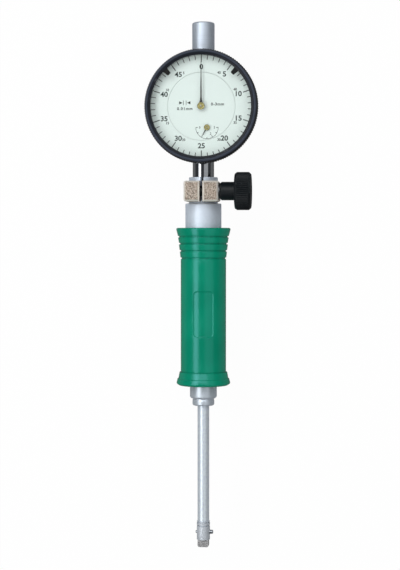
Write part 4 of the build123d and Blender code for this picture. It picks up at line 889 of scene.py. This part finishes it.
class GAUGE_OT_dial_print(GaugePiece, bpy.types.Operator):
    """Prints the graduations and numbers of the dial"""

    bl_idname = "gauge.dial_print"
    bl_label = "Dial print"

    divisions = 50
    per_number = 5
    tick_out = 18.75
    tick_in = 17.15
    long_tick_in = 16.2
    long_tick_widening = 1.25
    number_circle = 14.5
    number_width = 1.06
    bold = 0.028
    small_circle = 13.9
    small_shift = 8.0
    small_bold = 0.03
    scale_radius = 4.15
    scale_line = 0.15
    scale_tick = 0.8
    dot = 0.2
    fine_height = 1.1
    counter_height = 0.9
    counter_reach = (2.7, 2.6, 2.6, 2.7)
    arrows_at = (-6.12, 1.3)

    def build(self, scene):
        look = scene.gauge_dial
        for name, shapes, body, finish in (
            ("dial_graduations", self.ticks(look), "bezel", "dial_print"),
            ("dial_numbers", self.numbers(look), "bezel", "dial_print"),
            ("reverse_numbers", self.small_numbers(look), "bezel", "faint_print"),
            ("counter_scale", self.counter_scale(), "indicator", "dial_print"),
            ("fine_lettering", self.fine_lettering(), "indicator", "faint_print"),
        ):
            make(name, shapes, body, finish)

    def turn(self, k):
        """Degrees of division k, clockwise from the top."""
        return 360 * k / self.divisions

    def ticks(self, look):
        shapes = []
        for k in range(self.divisions):
            inner, width = self.tick_in, look.line
            if k % self.per_number == 0:
                inner, width = self.long_tick_in, look.line * self.long_tick_widening
            shapes.append(plate(bar(inner, self.tick_out, width, 90 - self.turn(k)), *PRINT))
        return shapes

    def numbers(self, look):
        return [
            lettering(str(k), look.number_height, polar(self.number_circle, 90 - self.turn(k)), self.number_width,
                      weight=self.bold)
            for k in range(0, self.divisions, self.per_number)]

    def small_numbers(self, look):
        """The reverse count stands beside each large number, nearer to the upright line through the dial."""
        shapes = []
        for k in range(self.per_number, self.divisions, self.per_number):
            turn = self.turn(k)
            if turn == 180:
                continue
            right, upper = turn < 180, turn < 90 or turn > 270
            turn += self.small_shift * (-1 if right == upper else 1)
            shapes.append(lettering(str(self.divisions - k), look.small_height,
                                    polar(self.small_circle, 90 - turn), weight=self.small_bold))
        return shapes

    def counter_scale(self):
        """The small dial: a lower half circle with a tick for each number and a dot halfway between."""
        centre, size = COUNTER.foot[:2], self.scale_radius
        outlines = [arc_band(centre, size, self.scale_line, 180, 360, 48)]
        for k in range(4):
            outlines.append(bar(size - self.scale_tick, size, 0.2, 180 + 60 * k, centre))
            if k < 3:
                spot = polar(size - 0.3, 210 + 60 * k, centre)
                outlines.append(arc_band(spot, self.dot / 2, self.dot, 0, 345, 16))
        return [plate(outline, *PRINT) for outline in outlines]

    def fine_lettering(self):
        """The value of a division between two arrows, the range, and the numbers of the small dial."""
        shapes = [
            lettering("0.01mm", self.fine_height, (-6.15, -0.85), self.number_width, 1.2, self.bold),
            lettering("0-3mm", self.fine_height, (5.95, 0.75), self.number_width, 1.15, self.bold),
        ]
        x, y = self.arrows_at
        for side in (-1, 1):
            shapes.append(plate(bar(-0.85, 0.85, 0.18, 90, (x + side * 0.5, y)), *PRINT))
            tip, tail = x + side * 0.8, x + side * 2.1
            shapes.append(plate([(tip, y), (tail, y - 0.6), (tail, y + 0.6)], *PRINT))
        for k, reach in enumerate(self.counter_reach):
            spot = polar(reach, 180 + 60 * k, COUNTER.foot[:2])
            shapes.append(lettering(str(k), self.counter_height, spot, 0.9))
        return shapes


class GAUGE_OT_hands(GaugePiece, bpy.types.Operator):
    """Makes the two hands and their brass hubs"""

    bl_idname = "gauge.hands"
    bl_label = "Hands"

    eye_bore = 0.3
    small_hand = [(0.5, 0.22), (1.4, 0.17), (3.4, 0.07)]

    def build(self, scene):
        tip = high("main_pointer", "y")
        long_hand = [(0.6, 0.7), (1.2, 0.68), (2.2, 0.36), (3.0, 0.28), (tip - 1.0, 0.1), (tip, 0.03)]
        for node, spindle, half, degrees, eye, segments in (
            ("main_pointer", DIAL, long_hand, 90, 1.15, 48),
            ("counter_pointer", COUNTER, self.small_hand, 240, 0.8, 40),
        ):
            heights = span(node, "z")
            outline = turned_outline([(x, -y) for x, y in half] + half[::-1], degrees, spindle.foot[:2])
            ring = lathe(spindle, collar_profile(self.eye_bore, eye, *heights), segments)
            skin(node, [ring, plate(outline, *heights)], "black_paint")
        for node, spindle in (("pointer_hub", DIAL), ("counter_hub", COUNTER)):
            skin(node, [lathe(spindle, self.hub(node), 72)], "brass")

    def hub(self, node):
        """A low turned boss: rounded shoulder, shallow groove, and a raised middle with a centre dimple."""
        (bottom, top), size = span(node, "z"), radius(node)
        drop = 0.12 * size
        return rounded([
            (0, bottom), (size - 0.1, bottom), (size, bottom + 0.12, 0.05), (size, top - 2.2 * drop, 0.1),
            (0.78 * size, top - drop, 0.08), (0.62 * size, top - 1.4 * drop, 0.05), (0.52 * size, top, 0.08),
            (0.2 * size, top, 0.04), (0.13 * size, top - drop), (0, top - drop),
        ], steps=4)


class GAUGE_OT_clamp(GaugePiece, bpy.types.Operator):
    """Makes the clamp collar and sleeve, the clamp band, the washer and the knob"""

    bl_idname = "gauge.clamp"
    bl_label = "Clamp"

    bore = 4.03
    collar_radius = 5.4
    slit = 1.15
    slit_end = -34.6
    sleeve_top = -35.6
    spigot_bore = 3.4
    washer_bore = 2.0
    hub_radius = 3.4
    hub_end = 12.4

    def build(self, scene):
        self.collar()
        skin_from_node("clamp_band", "blasted_nickel", 0.34)
        washer = collar_profile(
            self.washer_bore, radius("knob_washer", "y"), *span("knob_washer", "x"), 0.1, 0.1)
        skin("knob_washer", [lathe(KNOB, washer, 72)], "dark_steel")
        self.knob(scene.gauge_knob)

    def collar(self):
        """A slit collar above a round sleeve: the collar's profile is swept from one side of the slit to the
        other and closed there, and the sleeve's profile is spun right round."""
        bottom, top = span("clamp_collar", "y")
        bore, size, sleeve, slit_end = self.bore, self.collar_radius, radius("clamp_collar"), self.slit_end
        grip_top = high("grip", "y")
        inside = grip_top - 0.5
        ring = rounded([(bore, slit_end), (size, slit_end), (size, top, 0.25), (bore, top, 0.15)])
        start = math.asin(self.slit / 2 / size)
        split = lathe(GAUGE, ring, np.linspace(start, FULL_TURN - start, 129), closed=False)
        lower = rounded([
            (bore, slit_end), (bore, inside), (sleeve, inside), (sleeve, self.sleeve_top, 0.35),
            (size, self.sleeve_top, 0.1), (size, slit_end),
        ], steps=6)
        spigot = collar_profile(self.spigot_bore, SPIGOT, bottom, grip_top, 0.2)
        skin("clamp_collar", [split, lathe(GAUGE, lower, 160), lathe(GAUGE, spigot, 96)], "matt_chrome")

    def knob(self, look):
        (hub_in, end), size = span("clamp_knob", "x"), radius("clamp_knob", "y")
        hub_r, hub_end = self.hub_radius, self.hub_end
        root = size - look.knurl
        profile = rounded([
            (0, hub_in), (hub_r - 0.6, hub_in, 0.1), (hub_r, hub_in + 0.6, 0.2), (hub_r, hub_end, 0.25),
            (root - 0.35, hub_end, 0.3), (root, hub_end + 0.5, 0.1), (size, hub_end + 0.85, 0.1),
            (size, end - 0.85, 0.1), (root, end - 0.5, 0.1), (root - 0.45, end, 0.35), (2.4, end, 0.3),
            (2.0, end - 0.4, 0.15), (0, end - 0.4),
        ])

        def knurl(angles, radii, heights):
            """Straight knurl: rounded ribs, sine-shaped, where the radius passes the root of the teeth."""
            wave = 0.5 + 0.5 * np.cos(angles * look.teeth)
            return radii - np.clip(radii - root, 0, look.knurl) * (1 - wave ** 0.6)

        skin("clamp_knob", [lathe(KNOB, profile, look.teeth * 8, knurl)], "black_plastic")


class GAUGE_OT_grip(GaugePiece, bpy.types.Operator):
    """Makes the moulded grip"""

    bl_idname = "gauge.grip"
    bl_label = "Grip"

    groove_ends = (-48.0, -50.6, -53.3, -56.05)
    upper_radii = (10.32, 9.5, 9.2, 8.85)
    lower_radii = (9.55, 9.15, 8.9, 8.6)
    groove_width = 0.5
    groove_depth = 0.45
    body_radius = 8.5
    lower_ring = -98.75
    ring_radii = (8.95, 9.4)
    lower_rim = -101.2
    rim_radii = (9.7, 10.14)
    rim_end = -103.05
    end_radius = 9.2
    panel_y = -76.8
    step = 3.0
    segments = 144
    fine_segments = 22

    def build(self, scene):
        look = scene.gauge_grip
        bore = radius("grip_tube") + 0.02
        half_height, half_width = look.panel_height / 2, look.panel_width / 2
        corner = look.panel_corner

        def panel(turn, radii, heights):
            """Sinks the panel: the depth is a smooth step of the signed distance to a rounded rectangle."""
            around = np.abs(np.arctan2(np.sin(turn), np.cos(turn))) * self.body_radius
            x = around - (half_width - corner)
            y = np.abs(heights - self.panel_y) - (half_height - corner)
            distance = np.hypot(np.maximum(x, 0), np.maximum(y, 0)) + np.minimum(np.maximum(x, y), 0) - corner
            share = np.clip(0.5 - distance / look.panel_slope, 0, 1)
            share = share * share * (3 - 2 * share)
            return radii - np.where(radii > bore + 1, look.panel_depth * share, 0)

        fine = corner + look.panel_slope
        inset, reach = 0.45 * fine, 0.9 * fine
        profile = divided(rounded(self.corners(look.edge, bore), steps=4), self.step)
        body = (profile[:, 0] == self.body_radius).nonzero()[0]
        first, last = body[0], body[-1] + 1
        ends = [self.panel_y + side * (half_height - inset) for side in (1, -1)]
        stations = refined(profile[first:last, 1], ends, reach, self.fine_segments)[::-1]
        run = np.column_stack([np.full(len(stations), self.body_radius), stations])
        profile = np.concatenate([profile[:first], run, profile[last:]])
        sides = [side * (half_width - inset) / self.body_radius for side in (1, -1)]
        angles = refined(np.arange(self.segments) * FULL_TURN / self.segments - math.pi, sides,
                         reach / self.body_radius, self.fine_segments)
        axis = Spindle((0, 0, AXIS_Z), (0, 1, 0), (math.sin(look.turn), 0, math.cos(look.turn)))
        skin("grip", [lathe(axis, profile, angles, panel)], "green_plastic", sharp=50)

    def corners(self, edge, bore):
        """The flared rings of the upper end, the plain body, and the ring and rim of the lower end."""
        bottom, top = span("grip", "y")
        corners = [(bore, top)]
        start = top
        for end, upper, lower in zip(self.groove_ends, self.upper_radii, self.lower_radii):
            first = 0.5 if start == top else edge
            above, below = end + self.groove_width / 2, end - self.groove_width / 2
            floor = lower - self.groove_depth
            corners += [(upper, start, first), (lower, above, edge), (floor, above, 0.08), (floor, below, 0.08)]
            start = below
        (ring_top, ring_foot), (rim_top, rim_foot) = self.ring_radii, self.rim_radii
        corners += [
            (self.body_radius, start, edge), (self.body_radius, self.lower_ring + 0.5, 0.5),
            (self.body_radius - 0.15, self.lower_ring, 0.08), (ring_top, self.lower_ring, 0.15),
            (ring_foot, self.lower_rim, edge), (rim_top, self.lower_rim, edge), (rim_foot, self.rim_end, 0.5),
            (self.end_radius, bottom, 0.3), (bore, bottom),
        ]
        return corners


class GAUGE_OT_probe(GaugePiece, bpy.types.Operator):
    """Makes the ferrule, the probe tube, the measuring head, its points and the end block"""

    bl_idname = "gauge.probe"
    bl_label = "Probe"

    nose = 2.75
    nose_radius = 4.1
    neck_radius = 3.95
    step_radius = 4.5
    ferrule_radius = 5.05
    tube_bore = 1.35
    groove_drops = (0.45, 1.75)
    groove_width = 0.45
    groove_depth = 0.45
    plug_radius = 1.3
    anvil_radius = 1.0
    anvil_tip = 0.75
    anvil_step = 0.08
    pin_radius = 0.5

    def build(self, scene):
        tube_r = radius("probe_tube")
        tube = collar_profile(self.tube_bore, tube_r, *span("probe_tube", "y"))
        skin("lower_collar", [lathe(GAUGE, self.ferrule(tube_r), 160)], "ferrule_chrome")
        skin("probe_tube", [lathe(GAUGE, tube, 128)], "drawn_tube")
        head_r = radius("measuring_head")
        skin("measuring_head", [lathe(GAUGE, self.head(head_r), 128)], "satin_steel")
        inner, outer = span("anvil", "x")
        wide, tip, step = self.anvil_radius, self.anvil_tip, head_r + self.anvil_step
        anvil = rounded([
            (0, inner), (wide, inner), (wide, step, 0.05), (tip, step, 0.05), (tip, outer, 0.5), (0, outer),
        ], steps=6)
        skin("anvil", [lathe(MEASURING, anvil, 64)], "cross_steel")
        pin = collar_profile(0, self.pin_radius, low("contact_pin", "x"), 0.0, 0.3, steps=6)
        skin("contact_pin", [lathe(MEASURING, pin, 48)], "cross_steel")
        skin_from_node("end_block", "blasted_steel", 0.1)

    def ferrule(self, bore):
        """A short nose, a slight neck, and a wider step that reaches up to the grip."""
        bottom, spigot_end = span("lower_collar", "y")
        top, step = low("grip", "y"), bottom + self.nose
        nose, neck, size = self.nose_radius, self.neck_radius, self.ferrule_radius
        return rounded([
            (bore, bottom), (nose, bottom, 0.7), (nose, step - 0.9, 0.2), (neck, step - 0.4, 0.15), (neck, step),
            (self.step_radius, step, 0.1), (size, step + 0.6, 0.25), (size, top), (SPIGOT, top),
            (SPIGOT, spigot_end), (bore, spigot_end),
        ], steps=6)

    def head(self, size):
        """A plain round head with two grooves, and a plug that goes up into the tube."""
        (bottom, top), shoulder = span("measuring_head", "y"), low("probe_tube", "y")
        corners = [(0, bottom), (size - 0.05, bottom, 0.2), (size, bottom + 0.2, 0.1)]
        floor = size - self.groove_depth
        for drop in reversed(self.groove_drops):
            lower, upper = shoulder - drop - self.groove_width / 2, shoulder - drop + self.groove_width / 2
            corners += [(size, lower, 0.05), (floor, lower), (floor, upper), (size, upper, 0.05)]
        corners += [(size, shoulder - 0.15, 0.08), (size - 0.15, shoulder, 0.08), (self.plug_radius, shoulder),
                    (self.plug_radius, top), (0, top)]
        return rounded(corners, steps=4)


class GAUGE_OT_stage(GaugePiece, bpy.types.Operator):
    """Makes the floor, the lamps, the world and the camera"""

    bl_idname = "gauge.stage"
    bl_label = "Stage"

    floor_size = 3.0
    floor_gap = 0.5
    floor_glow = ((("Glossy",), 0.9, 0.1), (("Camera", "Transmission"), 0.97, 1.0))
    lamps = (
        ("left_softbox", (-0.55, 0.05, 0.83), 0.8, (0.34, 1.3), 2.5),
        ("right_softbox", (0.56, -0.05, 0.83), 0.85, (0.7, 1.3), 0.42),
        ("top_softbox", (-0.1, 0.5, 0.86), 0.9, (0.9, 0.5), 1.75),
    )
    lamp_target = (0.0, -0.06, AXIS_Z * MM)
    fill, room, backdrop = ((1.0, 1.0, 1.0), 0.42), ((0.9, 0.95, 1.0), 0.055), ((1.0, 1.0, 1.0), 1.0)
    sensor = 36.0
    camera_station = -48.1
    horizon_row = 237.0
    axis_column = 203.4
    image_width = 400.0
    image_height = 570.0

    def build(self, scene):
        scene.view_settings.view_transform = "Standard"
        self.floor(scene)
        self.world(scene)
        for lamp in self.lamps:
            self.lamp(scene, *lamp)
        self.camera(scene)

    def floor(self, scene):
        """A pale level floor, low enough for the bezel as the indicator swivels. The camera and glass see it as
        white, with a trace of the gauge's shadow; metal and gloss see it as a dim table."""
        half = self.floor_size / 2
        level = (AXIS_Z - radius("bezel") - self.floor_gap) * MM
        corners = [(-half, -half, level), (half, -half, level), (half, half, level), (-half, half, level)]
        mesh = bpy.data.meshes.new("floor")
        mesh.from_pydata(corners, [], [(0, 1, 2, 3)])
        floor = bpy.data.objects.new("floor", mesh)
        scene.collection.objects.link(floor)
        surface, tree, shader, _ = start_material("pale_floor")
        feed(tree, shader, {"Base Color": (0.8, 0.8, 0.8), "Roughness": 0.9, "Specular IOR Level": 0.0})
        shown = shader.outputs[0]
        for ray_kinds, share, strength in self.floor_glow:
            glow = add(tree, "Emission", {"Color": (1.0, 1.0, 1.0), "Strength": strength})[0]
            shown = mix_shaders(tree, maths(tree, "MULTIPLY", seen_by(tree, *ray_kinds), share), shown, glow)
        feed(tree, tree.nodes["Material Output"], {"Surface": shown})
        mesh.materials.append(surface)

    def world(self, scene):
        """White to the camera, a dark studio to reflections, and a soft grey fill to everything else."""
        scene.world = bpy.data.worlds.new("studio")
        scene.world.use_nodes = True
        tree = scene.world.node_tree
        tree.nodes.clear()
        fill, room, backdrop = [
            add(tree, "Background", {"Color": colour, "Strength": strength})[0]
            for colour, strength in (self.fill, self.room, self.backdrop)]
        lit = mix_shaders(tree, seen_by(tree, "Glossy"), fill, room)
        shown = mix_shaders(tree, seen_by(tree, "Camera", "Transmission"), lit, backdrop)
        add(tree, "OutputWorld", {"Surface": shown})

    def lamp(self, scene, name, direction, distance, size, brightness):
        """A soft box that faces the gauge; its power is brightness * pi * area."""
        light = bpy.data.lights.new(name, "AREA")
        light.shape = "RECTANGLE"
        light.size, light.size_y = size
        light.energy = brightness * math.pi * size[0] * size[1]
        away = Vector(direction).normalized()
        self.stand(scene, name, light, Vector(self.lamp_target) + away * distance, away)

    def camera(self, scene):
        """Stands level with the horizon's row, to the knob's side, and pitches and turns to set the frame."""
        look = scene.gauge_stage
        data = bpy.data.cameras.new("camera")
        data.lens = look.lens
        data.sensor_width = self.sensor
        pixels = look.lens / self.sensor * self.image_height
        place = Vector((look.distance * math.sin(look.swing), self.camera_station * MM,
                        AXIS_Z * MM + look.distance * math.cos(look.swing)))
        pitch = math.atan((self.image_height / 2 - self.horizon_row) / pixels)
        heading = look.swing + math.atan((self.axis_column - self.image_width / 2) / pixels)
        away = Vector((math.sin(heading) * math.cos(pitch), math.sin(pitch), math.cos(heading) * math.cos(pitch)))
        scene.camera = self.stand(scene, "camera", data, place, away)

    def stand(self, scene, name, data, place, away):
        """Stands a lamp or the camera at a place, with its back to a direction and its upper side towards y."""
        right = Vector((0, 1, 0)).cross(away).normalized()
        made = bpy.data.objects.new(name, data)
        made.matrix_world = Matrix.Translation(place) @ Matrix(
            (right, away.cross(right), away)).transposed().to_4x4()
        scene.collection.objects.link(made)
        return made


OPERATORS = (
    GAUGE_OT_node_finishes,
    GAUGE_OT_cap_and_stem,
    GAUGE_OT_case,
    GAUGE_OT_bezel,
    GAUGE_OT_dial_print,
    GAUGE_OT_hands,
    GAUGE_OT_clamp,
    GAUGE_OT_grip,
    GAUGE_OT_probe,
    GAUGE_OT_stage,
)


class GAUGE_PT_panel(bpy.types.Panel):
    """Lists the settings and the pieces of the gauge"""

    bl_idname = "GAUGE_PT_panel"
    bl_label = "Bore gauge"
    bl_space_type = "VIEW_3D"
    bl_region_type = "UI"
    bl_category = "Bore gauge"

    def draw(self, context):
        for name, kind in SETTINGS.items():
            box = self.layout.box()
            for key in kind.__annotations__:
                box.prop(getattr(context.scene, name), key)
        for operator in OPERATORS:
            self.layout.operator(operator.bl_idname)


CLASSES = (*SETTINGS.values(), *OPERATORS, GAUGE_PT_panel)


def register():
    for kind in CLASSES:
        bpy.utils.register_class(kind)
    for name, kind in SETTINGS.items():
        setattr(bpy.types.Scene, name, bpy.props.PointerProperty(type=kind))


def unregister():
    for name in SETTINGS:
        delattr(bpy.types.Scene, name)
    for kind in reversed(CLASSES):
        bpy.utils.unregister_class(kind)


def main():
    register()
    bpy.ops.gauge.node_finishes()
    bpy.ops.gauge.cap_and_stem()
    bpy.ops.gauge.case()
    bpy.ops.gauge.bezel()
    bpy.ops.gauge.dial_print()
    bpy.ops.gauge.hands()
    bpy.ops.gauge.clamp()
    bpy.ops.gauge.grip()
    bpy.ops.gauge.probe()
    bpy.ops.gauge.stage()


if __name__ == "__main__":
    main()
